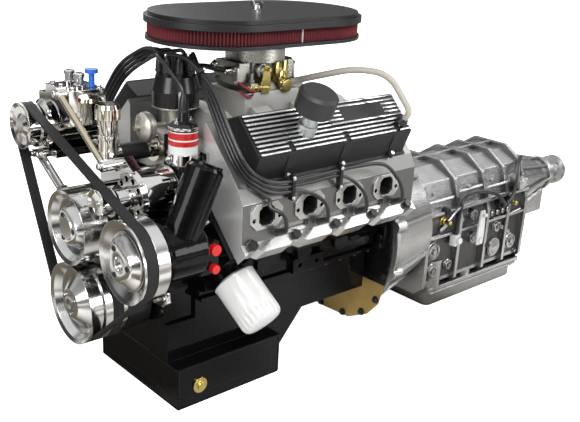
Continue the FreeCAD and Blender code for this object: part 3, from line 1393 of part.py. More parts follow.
def make_bell():
    front = "block_length + plate_thickness + seal_gap"
    bell = Piece("bell_cone", exported=False)
    bell.turn("YZ_Plane", [polygon((front, "bell_radius"), ("%s + 12" % front, "bell_radius"),
                                   ("%s + 20" % front, "bell_radius - 8"), ("case_front - 20", 164), ("case_front", 160),
                                   ("case_front", 40), ("case_front - 10", 40), ("case_front - 10", 152),
                                   ("case_front - 24", 156), (front, "bell_radius - 8 - bell_wall"))])
    bell.pad("XZ_Plane", ring_of(10, "(bell_radius - 6)", "flange_ear_radius", start=18), front, "%s + 30" % front)
    ribs = []
    for angle in range(0, 360, 36):
        corners = [("%s + 10" % front, "bell_radius - 14"), ("case_front - 4", 154), ("case_front - 4", 168),
                   ("%s + 40" % front, "bell_radius - 2"), ("%s + 10" % front, "bell_radius - 1")]
        ribs.append(rib("bell_rib", corners, 6, angle))
    fuse("bell_housing", [bell.body] + ribs)


def case_half(inset=0):
    """The right half of the case's outline, drawn in from its ribs."""
    side = "case_half_width - %g" % inset
    return [("120 - %g" % inset, "-case_floor"), (side, "-case_floor + 24"), (side, 10),
            ("112 - %g" % inset, "case_top - 38"), ("56 - %g" % inset, "case_top - %g" % inset)]


def make_case():
    case = Piece("case_casting", exported=False)
    front = "case_front + seal_gap"
    case.pad("XZ_Plane", [mirrored(case_half(value("case_recess")))], front, "case_rear")
    stations = [front, "case_front + 130", "case_front + 250", "case_front + 345", "case_rear - 16"]
    for station in stations:
        case.pad("XZ_Plane", [mirrored(case_half())], station, "%s + case_rib + 2" % station)
    for height in (-30, 34):
        case.pad("XZ_Plane", [rectangle("-case_half_width + 2", "case_half_width - 2", height, height + 7)],
                 "case_front + 4", "case_rear - 4")
    case.pad("XZ_Plane", [rectangle("-case_half_width + 4", "case_half_width - 4", "-case_floor", "-case_floor + 12")],
             "case_front + 30", "case_rear - 6")
    case.pad("XZ_Plane", [rectangle(-4, 4, 100, "case_top")], "case_front + 4", "case_rear - 4")
    for sign in (1, -1):
        for place_y, place_z, size in ((300, -110, 27), (190, 8, 15), (400, 60, 20)):
            span = (100, "case_half_width") if sign > 0 else ("-case_half_width", -100)
            case.pad("YZ_Plane", [circle("case_front + %d" % place_y, place_z, size)], *span)
            case.pad("YZ_Plane", ring_of(6, size - 5, 2.5, x="case_front + %d" % place_y, y=place_z),
                     *((100, "case_half_width + 2") if sign > 0 else ("-case_half_width - 2", -100)))
    case.pad("YZ_Plane", [circle("selector_y", "selector_z", 16)], 100, "case_half_width")
    domes = [cylinder("sign * (case_half_width - 34)".replace("sign", str(sign)), "case_front + %d" % y, low, "Z", size, high)
             for sign in (1, -1) for y, low, size, high in ((62, -180, 32, 84), (62, -90, 26, 62), (208, -180, 24, 58))]
    lean = [rib("case_web", [("case_front + %d" % y, 100), ("case_front + %d" % (y + 100), 100),
                             ("case_front + %d" % (y + 100), "case_half_width + 1"), ("case_front + %d" % y, 132)], 6, angle)
            for y, angle in ((12, 62), (12, -62), (140, 58), (140, -58), (262, 62), (262, -62))]
    fuse("transmission_case", [case.body] + domes + lean)
    pan = Piece("transmission_pan")
    pan.pad("XY_Plane", [rectangle("-134", 134, "case_front + 42", "case_rear - 18")], "-sump_depth", "-case_floor - 5")
    pan.round_edges(22, lambda edge: abs(edge.BoundBox.ZLength - edge.Length) < 0.01)
    pan.round_edges(7, lambda edge: edge.BoundBox.ZMax < -value("sump_depth") + 0.01)
    pan.pad("XY_Plane", [chamfered("-146", "146", "case_front + 30", "case_rear - 6", 14)], "-case_floor - 6",
            "-case_floor - seal_gap")


def make_tail():
    barrel = "yoke_barrel_radius + running_gap"
    tail = Piece("tail_cone", exported=False)
    tail.turn("YZ_Plane", [polygon(("case_rear + seal_gap", 0), ("case_rear + seal_gap", 128), ("case_rear + 14", 128),
                                   ("case_rear + 18", 108), ("case_rear + 80", 84), ("tail_rear - 60", 52),
                                   ("tail_rear - 24", 48), ("tail_rear - 24", 54), ("tail_rear - 8", 54),
                                   ("tail_rear", 46), ("tail_rear", barrel), ("tail_rear - 80", barrel),
                                   ("tail_rear - 80", 0))])
    tail.pad("XZ_Plane", ring_of(8, 122, 13, start=22.5), "case_rear + seal_gap", "case_rear + 22")
    tail.pad("XY_Plane", [chamfered(-46, 46, "case_rear + 150", "case_rear + 250", 10)], -104, -40)
    ribs = []
    for angle in range(0, 360, 45):
        corners = [("case_rear + 8", 100), ("tail_rear - 20", 46), ("tail_rear - 20", 54), ("case_rear + 84", 94),
                   ("case_rear + 16", 124)]
        ribs.append(rib("tail_rib", corners, 6, angle))
    whole = fuse("tail_with_ribs", [tail.body] + ribs, exported=False)
    holes = [cylinder(0, "case_rear + %d" % y, -105, "Z", 5.5, 34) for y in (170, 230)]
    barrel_bore = cylinder(0, "tail_rear - 80", 0, "Y", barrel, 81)
    cut("tail_housing", whole, holes + [barrel_bore])


def make_output_yoke():
    yoke = Piece("output_yoke")
    yoke.turn("YZ_Plane", [polygon(("tail_rear - 79", 0), ("tail_rear - 79", "yoke_barrel_radius"),
                                   ("yoke_rear - 72", "yoke_barrel_radius"), ("yoke_rear - 64", "yoke_flange_radius"),
                                   ("yoke_rear - 48", "yoke_flange_radius"), ("yoke_rear - 48", 22),
                                   ("yoke_rear - 44", 20), ("yoke_rear - 44", 0))])
    yoke.pocket("XZ_Plane", ring_of(4, "yoke_bolt_circle", "yoke_bolt_hole", start=45), "yoke_rear - 70", "yoke_rear - 47")


def make_converter():
    plate = Piece("flexplate")
    behind = "block_length + 8.05"
    plate.turn("YZ_Plane", [rectangle(behind, "%s + plate_thickness" % behind, 0, "flexplate_radius")])
    front = "%s + plate_thickness + 0.05" % behind
    converter = Piece("torque_converter")
    converter.turn("YZ_Plane", [polygon((front, 0), (front, 60), ("%s + 9" % front, 120), ("%s + 19" % front, "converter_radius - 8"),
                                        ("%s + 29" % front, "converter_radius"), ("%s + 69" % front, "converter_radius"),
                                        ("%s + 109" % front, "converter_radius - 30"), ("%s + 129" % front, 70),
                                        ("case_front - 28", 39.5), ("case_front - 12", 39.5), ("case_front - 12", 0))])


def build():
    make_block()
    make_main_caps()
    make_crankshaft()
    make_pistons_and_rods()
    make_camshaft()
    make_timing_set()
    make_timing_cover()
    make_front_drive()
    make_belts()
    make_water_pump()
    make_steering_pump()
    make_compressor()
    make_alternator()
    make_gaskets()
    make_heads()
    make_valve_covers()
    make_intake()
    make_carburettor()
    make_air_cleaner()
    make_distributor()
    make_coil()
    make_oil_pan()
    make_oil_filter()
    make_oil_pump()
    make_drain_plug()
    make_water_neck()
    make_brackets()
    make_spark_plugs()
    make_leads()
    make_separators()
    make_breather()
    make_pcv_hose()
    make_valve_train()
    make_shift_lever()
    make_bolts()
    make_rear_plate()
    make_bell()
    make_case()
    make_tail()
    make_output_yoke()
    make_converter()


def check():
    """Stop if any object failed or any node has no sound shape."""
    for item in doc.Objects:
        if "Invalid" in item.State or "Error" in item.State:
            raise RuntimeError("failed: %s %s" % (item.Label, item.State))
    for label, node in nodes.items():
        if node.Shape.isNull() or not node.Shape.isValid():
            raise RuntimeError("no sound shape: %s" % label)


def stand_on_floor():
    """Move every node so that the engine stands on Z = 0, centred on X and Y."""
    bounds = FreeCAD.BoundBox()
    for node in nodes.values():
        bounds.add(node.Shape.optimalBoundingBox(False, False))
    middle = bounds.Center
    shift = Placement(Vector(-middle.x, -middle.y, -bounds.ZMin), Rotation())
    for node in nodes.values():
        node.Placement = shift * node.Placement
    print("shift", shift.Base, "box", bounds.XLength, bounds.YLength, bounds.ZLength)


build()
doc.recompute()
check()
stand_on_floor()
doc.recompute()
check()
os.makedirs("parts", exist_ok=True)
for name, node in nodes.items():
    node.Label = name
    node.Shape.exportStep("parts/%s.step" % name)
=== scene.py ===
"""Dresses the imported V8 engine and its transmission, and lights it in a plain studio."""

import json
import logging
import math
from collections.abc import Callable, Iterable, Sequence
from dataclasses import dataclass
from enum import Enum

import bmesh
import bpy
from mathutils import Matrix, Vector


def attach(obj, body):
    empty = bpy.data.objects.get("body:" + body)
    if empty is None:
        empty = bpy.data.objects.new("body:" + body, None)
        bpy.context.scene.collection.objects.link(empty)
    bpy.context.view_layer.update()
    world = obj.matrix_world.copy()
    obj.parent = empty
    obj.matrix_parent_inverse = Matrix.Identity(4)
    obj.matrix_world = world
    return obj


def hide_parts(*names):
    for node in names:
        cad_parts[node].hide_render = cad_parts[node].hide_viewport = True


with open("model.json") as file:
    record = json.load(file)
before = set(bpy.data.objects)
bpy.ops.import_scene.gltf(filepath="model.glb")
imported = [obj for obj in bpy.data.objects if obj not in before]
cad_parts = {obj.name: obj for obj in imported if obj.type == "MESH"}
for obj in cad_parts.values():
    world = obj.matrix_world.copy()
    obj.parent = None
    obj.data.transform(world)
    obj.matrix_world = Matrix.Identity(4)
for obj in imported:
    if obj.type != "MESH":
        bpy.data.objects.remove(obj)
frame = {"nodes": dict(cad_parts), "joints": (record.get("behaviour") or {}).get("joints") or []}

Pair = tuple[float, float]
Triple = tuple[float, float, float]
Pairs = tuple[Pair, ...]
Triples = tuple[Triple, ...]
Socket = bpy.types.NodeSocket
Colour = Socket | Sequence[float]

LOG = logging.getLogger("engine")
MM = 0.001
ROOT_HALF = math.sqrt(0.5)
ORIGIN = Vector(next(joint for joint in frame["joints"] if joint["name"] == "crank_spin")["pos_m"])
UP: Triple = (0.0, 0.0, 1.0)
FORWARD: Triple = (0.0, -1.0, 0.0)
REARWARD: Triple = (0.0, 1.0, 0.0)
OUTWARD: Triple = (1.0, 0.0, 0.0)
SIDES = {"left": 1, "right": -1}

# Sizes that several sub-assemblies share, in millimetres from the front end of the crankshaft's axis
MIDDLE_MAIN = 244.5
BANK_STAGGER = 22.0
FIN_TOP = 407.0
FIRST_FIN = -142.0


def bank_point(side: str, x: float, y: float, z: float) -> Vector:
    """Turn a point of a cylinder bank into the engine's axes.

    Args:
        side: "left" or "right".
        x: across the bank, positive to the exhaust side.
        y: along the bank from its middle.
        z: up the bores from the crankshaft's axis.

    Returns:
        The point in the engine's millimetres.
    """
    sign = SIDES[side]
    middle = MIDDLE_MAIN + sign * BANK_STAGGER / 2
    return Vector((sign * (x + z) * ROOT_HALF, middle + sign * y, (z - x) * ROOT_HALF))


def aimed(place: Triple | Vector, way: Triple | Vector = UP, roll: float = 0.0) -> Matrix:
    """Stand an element at a place with its own height along a direction.

    Args:
        place: where its foot goes, in the engine's millimetres.
        way: the direction of its height.
        roll: its turn about that direction, in degrees.

    Returns:
        The matrix of its place.
    """
    turn = Vector(way).to_track_quat("Z", "Y").to_matrix().to_4x4()
    return Matrix.Translation(place) @ turn @ Matrix.Rotation(math.radians(roll), 4, "Z")


def ring(count: int, radius: float = 1.0, first: float = 0.0) -> list[Pair]:
    """Space points evenly round a circle.

    Args:
        count: the number of points.
        radius: the circle's radius.
        first: the first point's angle in degrees.

    Returns:
        The points.
    """
    turns = [math.radians(first + 360 * step / count) for step in range(count)]
    return [(radius * math.cos(turn), radius * math.sin(turn)) for turn in turns]


class Nodes:
    """A small helper that writes shader nodes."""

    def __init__(self, tree: bpy.types.NodeTree) -> None:
        """Keep the tree that it writes in."""
        self.tree = tree

    def add(self, kind: str, **settings: str | int) -> bpy.types.Node:
        """Add a node.

        Args:
            kind: the node's type without its Shader prefix.
            settings: its properties.

        Returns:
            The node.
        """
        node = self.tree.nodes.new("ShaderNode" + kind)
        for name, value in settings.items():
            setattr(node, name, value)
        return node

    def link(self, source: Socket, target: Socket) -> None:
        """Join an output to an input."""
        self.tree.links.new(source, target)

    def feed(self, target: Socket, value: Colour | float | None) -> None:
        """Give an input its value.

        Args:
            target: the input.
            value: a socket to join to it, a plain value, or nothing.
        """
        if isinstance(value, bpy.types.NodeSocket):
            self.link(value, target)
        elif value is not None:
            target.default_value = value

    def maths(self, operation: str, first: Socket | float, second: Socket | float | None = None) -> Socket:
        """Work out one number.

        Args:
            operation: the Math node's operation.
            first: a socket or a number.
            second: a socket, a number or nothing.

        Returns:
            The result's socket.
        """
        node = self.add("Math", operation=operation)
        self.feed(node.inputs[0], first)
        self.feed(node.inputs[1], second)
        return node.outputs["Value"]

    def vector(self, operation: str, first: Socket, second: Colour | None = None,
               scale: float | None = None) -> bpy.types.Node:
        """Work with a vector.

        Args:
            operation: the Vector Math node's operation.
            first: the vector's socket.
            second: a socket, a vector or nothing.
            scale: the factor of a SCALE.

        Returns:
            The node.
        """
        node = self.add("VectorMath", operation=operation)
        self.feed(node.inputs[0], first)
        self.feed(node.inputs[1], second)
        if scale is not None:
            node.inputs["Scale"].default_value = scale
        return node

    def mix_colours(self, factor: Socket, first: Colour, second: Colour) -> Socket:
        """Mix two colours.

        Args:
            factor: the socket that mixes them.
            first: a socket or a colour.
            second: a socket or a colour.

        Returns:
            The mixed colour's socket.
        """
        node = self.add("Mix", data_type="RGBA")
        self.link(factor, node.inputs["Factor"])
        for spot, value in ((6, first), (7, second)):
            self.feed(node.inputs[spot], value if isinstance(value, bpy.types.NodeSocket) else (*value, 1))
        return node.outputs[2]

    def mix_numbers(self, factor: Socket, first: Socket | float, second: Socket | float) -> Socket:
        """Mix two numbers.

        Args:
            factor: the socket that mixes them.
            first: a socket or a number.
            second: a socket or a number.

        Returns:
            The mixed number's socket.
        """
        node = self.add("Mix", data_type="FLOAT")
        self.link(factor, node.inputs["Factor"])
        self.feed(node.inputs[2], first)
        self.feed(node.inputs[3], second)
        return node.outputs[0]


@dataclass(frozen=True)
class Slab:
    """The room between two planes."""

    normal: Triple
    low: float
    high: float

    def mask(self, nodes: Nodes, place: Socket, normal: Socket) -> Socket:
        """One inside the room and zero outside.

        Args:
            nodes: the helper that writes the nodes.
            place: the point's place in the engine's millimetres.
            normal: the surface's direction; not used.

        Returns:
            The mask's socket.
        """
        along = nodes.vector("DOT_PRODUCT", place, self.normal).outputs["Value"]
        above = nodes.maths("GREATER_THAN", along, self.low)
        return nodes.maths("MULTIPLY", above, nodes.maths("LESS_THAN", along, self.high))


@dataclass(frozen=True)
class Rod:
    """The room within a radius of a line."""

    start: Triple
    way: Triple
    radius: float

    def mask(self, nodes: Nodes, place: Socket, normal: Socket) -> Socket:
        """One within the radius and zero outside.

        Args:
            nodes: the helper that writes the nodes.
            place: the point's place in the engine's millimetres.
            normal: the surface's direction; not used.

        Returns:
            The mask's socket.
        """
        arm = nodes.vector("SUBTRACT", place, self.start).outputs["Vector"]
        side = nodes.vector("CROSS_PRODUCT", arm, self.way).outputs["Vector"]
        return nodes.maths("LESS_THAN", nodes.vector("LENGTH", side).outputs["Value"], self.radius)


@dataclass(frozen=True)
class Facing:
    """The faces that look one way."""

    way: Triple
    least: float = 0.9

    def mask(self, nodes: Nodes, place: Socket, normal: Socket) -> Socket:
        """One on the faces that look that way and zero on the others.

        Args:
            nodes: the helper that writes the nodes.
            place: the point's place in the engine's millimetres; not used.
            normal: the surface's direction.

        Returns:
            The mask's socket.
        """
        along = nodes.vector("DOT_PRODUCT", normal, self.way).outputs["Value"]
        return nodes.maths("GREATER_THAN", along, self.least)


@dataclass(frozen=True)
class Patch:
    """A part of a surface with a colour and gloss of its own, where all its zones meet."""

    zones: tuple[Slab | Rod | Facing, ...]
    colour: Triple
    metallic: float = 0.0
    roughness: float = 0.4


class Grain(Enum):
    """The surface relief of a finish: its texture's scale and its depth in metres."""

    NONE = (0.0, 0.0)
    CAST = (650.0, 0.0005)
    CRACKLE = (900.0, 0.0004)
    POURED = (60.0, 0.0004)
    BRUSHED = (300.0, 0.0001)
    RUBBER = (500.0, 0.0002)
    GAUZE = (1400.0, 0.0004)


@dataclass(frozen=True)
class Finish:
    """One finish: its colour, gloss and relief.

    The spread is how far the colour strays from its middle, the edge is the radius of rounded edges in
    metres, and the hollow shade is how dark the painted shade in the hollows gets.
    """

    name: str
    colour: Triple
    metallic: float = 0.0
    roughness: float = 0.4
    coat: float = 0.0
    specular: float = 0.5
    grain: Grain = Grain.NONE
    spread: float = 0.08
    edge: float = 0.0012
    # painted shade: how dark ambient occlusion makes the hollows
    hollow_shade: float = 0.0
    patches: tuple[Patch, ...] = ()
    cloud_scale: float = 18.0
    cloud_detail: float = 6.0
    gloss_spread: float = 0.15
    coat_roughness: float = 0.05
    hollow_reach: float = 0.035
    hollow_power: float = 1.3
    grain_detail: float = 3.0
    samples: int = 4

    def build(self) -> bpy.types.Material:
        """Make the material.

        Returns:
            The material with its nodes.
        """
        material = bpy.data.materials.new(self.name)
        material.use_nodes = True
        nodes = Nodes(material.node_tree)
        shader = material.node_tree.nodes["Principled BSDF"]
        shader.inputs["Coat Weight"].default_value = self.coat
        shader.inputs["Coat Roughness"].default_value = self.coat_roughness
        shader.inputs["Specular IOR Level"].default_value = self.specular
        space = nodes.add("TexCoord")
        cloud = nodes.add("TexNoise")
        cloud.inputs["Scale"].default_value = self.cloud_scale
        cloud.inputs["Detail"].default_value = self.cloud_detail
        nodes.link(space.outputs["Object"], cloud.inputs["Vector"])
        low = [part * (1.0 - self.spread) for part in self.colour]
        high = [min(part * (1.0 + self.spread), 1.0) for part in self.colour]
        colour = nodes.mix_colours(cloud.outputs["Fac"], low, high)
        # paint shade into the hollows, found by ambient occlusion
        if self.hollow_shade > 0:
            colour = self.paint_hollow_shade(nodes, colour)
        gloss = nodes.add("MapRange")
        gloss.inputs["To Min"].default_value = self.roughness * (1 - self.gloss_spread)
        gloss.inputs["To Max"].default_value = min(self.roughness * (1 + self.gloss_spread), 1.0)
        nodes.link(cloud.outputs["Fac"], gloss.inputs["Value"])
        rough = gloss.outputs["Result"]
        metal = self.metallic
        for patch in self.patches:
            mask = self.covered(nodes, patch, space)
            colour = nodes.mix_colours(mask, colour, patch.colour)
            rough = nodes.mix_numbers(mask, rough, patch.roughness)
            metal = nodes.mix_numbers(mask, metal, patch.metallic)
        for name, value in (("Base Color", colour), ("Roughness", rough), ("Metallic", metal),
                            ("Normal", self.relief(nodes, space.outputs["Object"]))):
            nodes.feed(shader.inputs[name], value)
        return material

    def covered(self, nodes: Nodes, patch: Patch, space: bpy.types.Node) -> Socket:
        """Find where a patch lies.

        Args:
            nodes: the helper that writes the nodes.
            patch: the patch.
            space: the texture coordinate node.

        Returns:
            The mask's socket.
        """
        moved = nodes.vector("SUBTRACT", space.outputs["Object"], ORIGIN).outputs["Vector"]
        sized = nodes.vector("SCALE", moved, scale=1 / MM).outputs["Vector"]
        masks = [zone.mask(nodes, sized, space.outputs["Normal"]) for zone in patch.zones]
        whole = masks[0]
        for mask in masks[1:]:
            whole = nodes.maths("MULTIPLY", whole, mask)
        return whole

    def paint_hollow_shade(self, nodes: Nodes, colour: Socket) -> Socket:
        """Paint shade into the hollows of a casting, darker where ambient occlusion finds them.

        Args:
            nodes: the helper that writes the nodes.
            colour: the colour before the painted shade.

        Returns:
            The socket of the colour with the painted shade.
        """
        hollow = nodes.add("AmbientOcclusion", samples=self.samples)
        hollow.inputs["Distance"].default_value = self.hollow_reach
        open_sky = nodes.maths("POWER", hollow.outputs["AO"], self.hollow_power)
        return nodes.mix_colours(open_sky, [part * (1 - self.hollow_shade) for part in self.colour], colour)

    def relief(self, nodes: Nodes, place: Socket) -> Socket:
        """Round the edges and raise the grain.

        Args:
            nodes: the helper that writes the nodes.
            place: the texture's coordinates.

        Returns:
            The normal's socket.
        """
        corner = nodes.add("Bevel", samples=self.samples)
        corner.inputs["Radius"].default_value = self.edge
        if self.grain is Grain.NONE:
            return corner.outputs["Normal"]
        scale, depth = self.grain.value
        if self.grain is Grain.CRACKLE:
            pattern = nodes.add("TexVoronoi")
            height = pattern.outputs["Distance"]
        else:
            pattern = nodes.add("TexNoise")
            pattern.inputs["Detail"].default_value = self.grain_detail
            height = pattern.outputs["Fac"]
        pattern.inputs["Scale"].default_value = scale
        nodes.link(place, pattern.inputs["Vector"])
        bump = nodes.add("Bump")
        bump.inputs["Distance"].default_value = depth
        bump.inputs["Strength"].default_value = 1.0
        nodes.link(height, bump.inputs["Height"])
        nodes.link(corner.outputs["Normal"], bump.inputs["Normal"])
        return bump.outputs["Normal"]


BLACK: Triple = (0.008, 0.008, 0.009)
ENAMEL_BLACK: Triple = (0.005, 0.005, 0.005)
HOSE_BLACK: Triple = (0.012, 0.012, 0.012)
CHROME_TINT: Triple = (0.82, 0.81, 0.79)
NECK_TINT: Triple = (0.55, 0.58, 0.58)
COIL_RED: Triple = (0.5, 0.008, 0.01)
COIL_WHITE: Triple = (0.72, 0.72, 0.7)
BANK_UP: Triple = (ROOT_HALF, 0.0, ROOT_HALF)
BANK_UP_RIGHT: Triple = (-ROOT_HALF, 0.0, ROOT_HALF)
STRUT_FOOT: Triple = (-92.0, -183.0, 400.0)
STRUT_WAY: Triple = tuple(Vector((164, 0, -103)).normalized())
NECK_WAY: Triple = (math.sin(math.radians(22)), 0.0, math.cos(math.radians(22)))
NECK_FOOT: Triple = (226.98, 181.5, 365.6)
PANEL_LENGTH = 212.0
PANEL_ACROSS = 52.0


def cover_patches(sign: int) -> tuple[Patch, ...]:
    """Polish the tops of a valve cover's fins, apart from the plain panel.

    Args:
        sign: 1 for the left cover and -1 for the right one.

    Returns:
        The patches.
    """
    way = BANK_UP if sign > 0 else BANK_UP_RIGHT
    tops = (Facing(way), Slab(way, FIN_TOP - 0.6, FIN_TOP + 0.6))
    across = (sign * ROOT_HALF, 0.0, -ROOT_HALF)
    middle = MIDDLE_MAIN + sign * (BANK_STAGGER / 2 + 100)
    panel = (Slab(across, FIRST_FIN - 1.5, FIRST_FIN - 1.5 + PANEL_ACROSS),
             Slab(REARWARD, middle - PANEL_LENGTH / 2, middle + PANEL_LENGTH / 2))
    return (Patch(tops, (0.85, 0.85, 0.86), 1.0, 0.14), Patch(tops + panel, BLACK, 0.0, 0.42))


def neck_patch(*zones: Slab | Rod) -> tuple[Patch, ...]:
    """Plate the filler's neck."""
    return (Patch(zones, NECK_TINT, 0.9, 0.3),)


def head_patches() -> tuple[Patch, ...]:
    """Colour the heads: painted shade in the recesses, cast exhaust faces darkened with painted shade,
    painted shade on the grey tops, and pale front ends.

    Returns:
        The patches.
    """
    patches = []
    for sign in SIDES.values():
        outward = (float(sign), 0.0, 0.0)
        front = 20 + 10 * sign
        shaded_recess = (Slab(outward, 190, 240), Slab(UP, 182, 224), Slab(REARWARD, front, front + 450))
        # painted shade in the recess between the exhaust flanges and the ledge
        patches.append(Patch(shaded_recess, (0.012, 0.011, 0.01), 0.2, 0.6))
        # cast exhaust face, darkened with painted shade round the flange pads
        patches.append(Patch((Facing(outward), Slab(outward, 242, 244.5)), (0.17, 0.17, 0.165), 0.8, 0.4))
    # painted shade: the heads' upper part greyer, where the leads shade it
    patches.append(Patch((Slab(UP, 231.5, 400),), (0.27, 0.27, 0.26), 0.85, 0.38))
    patches.append(Patch((Facing(FORWARD), Slab(REARWARD, -400, 60)), (0.72, 0.72, 0.71), 0.55, 0.3))
    return tuple(patches)


def case_patches() -> tuple[Patch, ...]:
    """Paint shade on the recessed sides of the transmission's case.

    Returns:
        The patches.
    """
    patches = []
    for sign in SIDES.values():
        outward = (float(sign), 0.0, 0.0)
        shaded_recess = (Facing(outward), Slab(outward, 130, 140), Slab(UP, -150, 120))
        # painted shade in the side recess between the ribs
        patches.append(Patch(shaded_recess, (0.1, 0.1, 0.1), 0.8, 0.3))
    return tuple(patches)


def bolt_patches() -> tuple[Patch, ...]:
    """Blacken the head bolts and the bolts of the pan, the front cover and the bell housing.

    Returns:
        The patches.
    """
    heads = [(Slab(BANK_UP, 276, 290), Slab(OUTWARD, 150, 300)),
             (Slab(BANK_UP_RIGHT, 276, 290), Slab(OUTWARD, -300, -150))]
    plain = [(Slab(UP, -16, -5),), (Slab(REARWARD, -122, -68),), (Slab(REARWARD, 492, 506),)]
    dark = tuple(Patch(zones, (0.03, 0.03, 0.03), 0.7, 0.3) for zones in heads)
    return dark + tuple(Patch(zones, ENAMEL_BLACK, 0.0, 0.2) for zones in plain)


def coil_patches() -> tuple[Patch, ...]:
    """Paint the coil's white and red bands, from the bottom layer up.

    Returns:
        The patches.
    """
    bands = ((286, 352, COIL_WHITE), (324, 350, COIL_RED), (334, 337, COIL_WHITE), (292, 299, COIL_RED))
    return tuple(Patch((Slab(UP, low, high),), colour, 0.0, 0.3) for low, high, colour in bands)


class Finishes(Enum):
    """Every finish on the engine."""

    # The hollow darkening shares below are painted shade, found by ambient occlusion.
    ENAMEL = Finish("black_enamel", (0.003, 0.003, 0.0035), roughness=0.08, specular=0.2, grain=Grain.POURED)
    IRON = Finish("machined_iron", (0.22, 0.22, 0.22), metallic=0.8, roughness=0.45)
    STEEL = Finish("plain_steel", (0.5, 0.5, 0.5), metallic=1.0, roughness=0.35, grain=Grain.BRUSHED)
    CAST = Finish("cast_aluminium", (0.74, 0.73, 0.7), metallic=0.6, roughness=0.36, grain=Grain.CAST,
                  spread=0.15, edge=0.0025, hollow_shade=0.9)
    HEAD = Finish("machined_head", (0.6, 0.6, 0.59), metallic=0.92, roughness=0.25, grain=Grain.BRUSHED,
                  spread=0.14, edge=0.002, hollow_shade=0.93, patches=head_patches())
    CASE = Finish("transmission_alloy", (0.64, 0.64, 0.64), metallic=0.92, roughness=0.24, grain=Grain.CAST,
                  spread=0.25, edge=0.003, hollow_shade=0.95, patches=case_patches())
    COVER_LEFT = Finish("black_crackle", BLACK, roughness=0.42, grain=Grain.CRACKLE,
                        patches=cover_patches(1) + neck_patch(Rod(NECK_FOOT, NECK_WAY, 20.6),
                                                              Slab(BANK_UP, 403, 440)))
    COVER_RIGHT = Finish("black_crackle_right", BLACK, roughness=0.42, grain=Grain.CRACKLE,
                         patches=cover_patches(-1))
    CHROME = Finish("polished", CHROME_TINT, metallic=1.0, roughness=0.06, spread=0.02, hollow_shade=0.5)
    TURNED = Finish("turned_polish", (0.78, 0.78, 0.77), metallic=1.0, roughness=0.16, spread=0.04, hollow_shade=0.4,
                    grain=Grain.BRUSHED)
    NECK = Finish("tinted_chrome", (0.8, 0.76, 0.68), metallic=1.0, roughness=0.08, hollow_shade=0.5,
                  patches=(Patch((Slab(REARWARD, -84, -22), Slab(UP, 250, 299)), HOSE_BLACK, 0.0, 0.4),))
    DAMPER = Finish("damper_black", (0.01, 0.01, 0.011), roughness=0.3)
    BLUE = Finish("cap_blue", (0.02, 0.13, 0.55), roughness=0.35,
                  patches=(Patch((Slab(UP, 60, 200),), (0.6, 0.01, 0.008), 0.0, 0.25),))
    BELT = Finish("belt_rubber", (0.014, 0.014, 0.015), roughness=0.6, grain=Grain.RUBBER, specular=0.3)
    LEAD = Finish("lead_rubber", (0.014, 0.014, 0.015), roughness=0.3, specular=0.6)
    HOSE = Finish("pale_hose", (0.42, 0.39, 0.34), roughness=0.5, grain=Grain.RUBBER)
    PLASTIC = Finish("black_plastic", BLACK, roughness=0.22)
    COIL = Finish("coil_red", BLACK, roughness=0.2, coat=0.3, patches=coil_patches())
    WHITE = Finish("filter_white", (0.64, 0.64, 0.63), roughness=0.25, coat=0.3, hollow_shade=0.6)
    BRASS = Finish("brass", (0.72, 0.58, 0.22), metallic=1.0, roughness=0.22)
    GREY = Finish("dark_grey", (0.035, 0.035, 0.037), roughness=0.42, metallic=0.3, grain=Grain.CAST,
                  patches=neck_patch(Slab(NECK_WAY, 424, 449.5)))
    LID = Finish("lid_black", (0.011, 0.0115, 0.0125), roughness=0.3, grain=Grain.CAST, specular=0.45)
    RED = Finish("filter_red", (0.3, 0.03, 0.045), roughness=0.75, grain=Grain.GAUZE, hollow_shade=0.97)
    SILVER = Finish("carburettor_silver", (0.7, 0.68, 0.62), metallic=0.9, roughness=0.28, hollow_shade=0.85,
                    grain=Grain.CAST)
    ZINC = Finish("zinc", (0.55, 0.55, 0.55), metallic=1.0, roughness=0.22, hollow_shade=0.6)
    BOLTS = Finish("bolt_zinc", (0.6, 0.6, 0.6), metallic=1.0, roughness=0.15, patches=bolt_patches())
    BRACKET = Finish("bracket_polish", CHROME_TINT, metallic=1.0, roughness=0.08, spread=0.02, hollow_shade=0.5,
                     patches=(Patch((Rod(STRUT_FOOT, STRUT_WAY, 7.0), Slab(OUTWARD, -84, 62)),
                                    (0.74, 0.66, 0.5), 1.0, 0.2),))
    YELLOW = Finish("yellow_zinc", (0.55, 0.38, 0.13), metallic=0.7, roughness=0.38, spread=0.2,
                    grain=Grain.CAST,
                    patches=(Patch((Slab(UP, -95, 240),), (0.004, 0.004, 0.0045), 0.0, 0.15),))
    DARK = Finish("dark_bolt", (0.03, 0.03, 0.032), metallic=0.6, roughness=0.35)


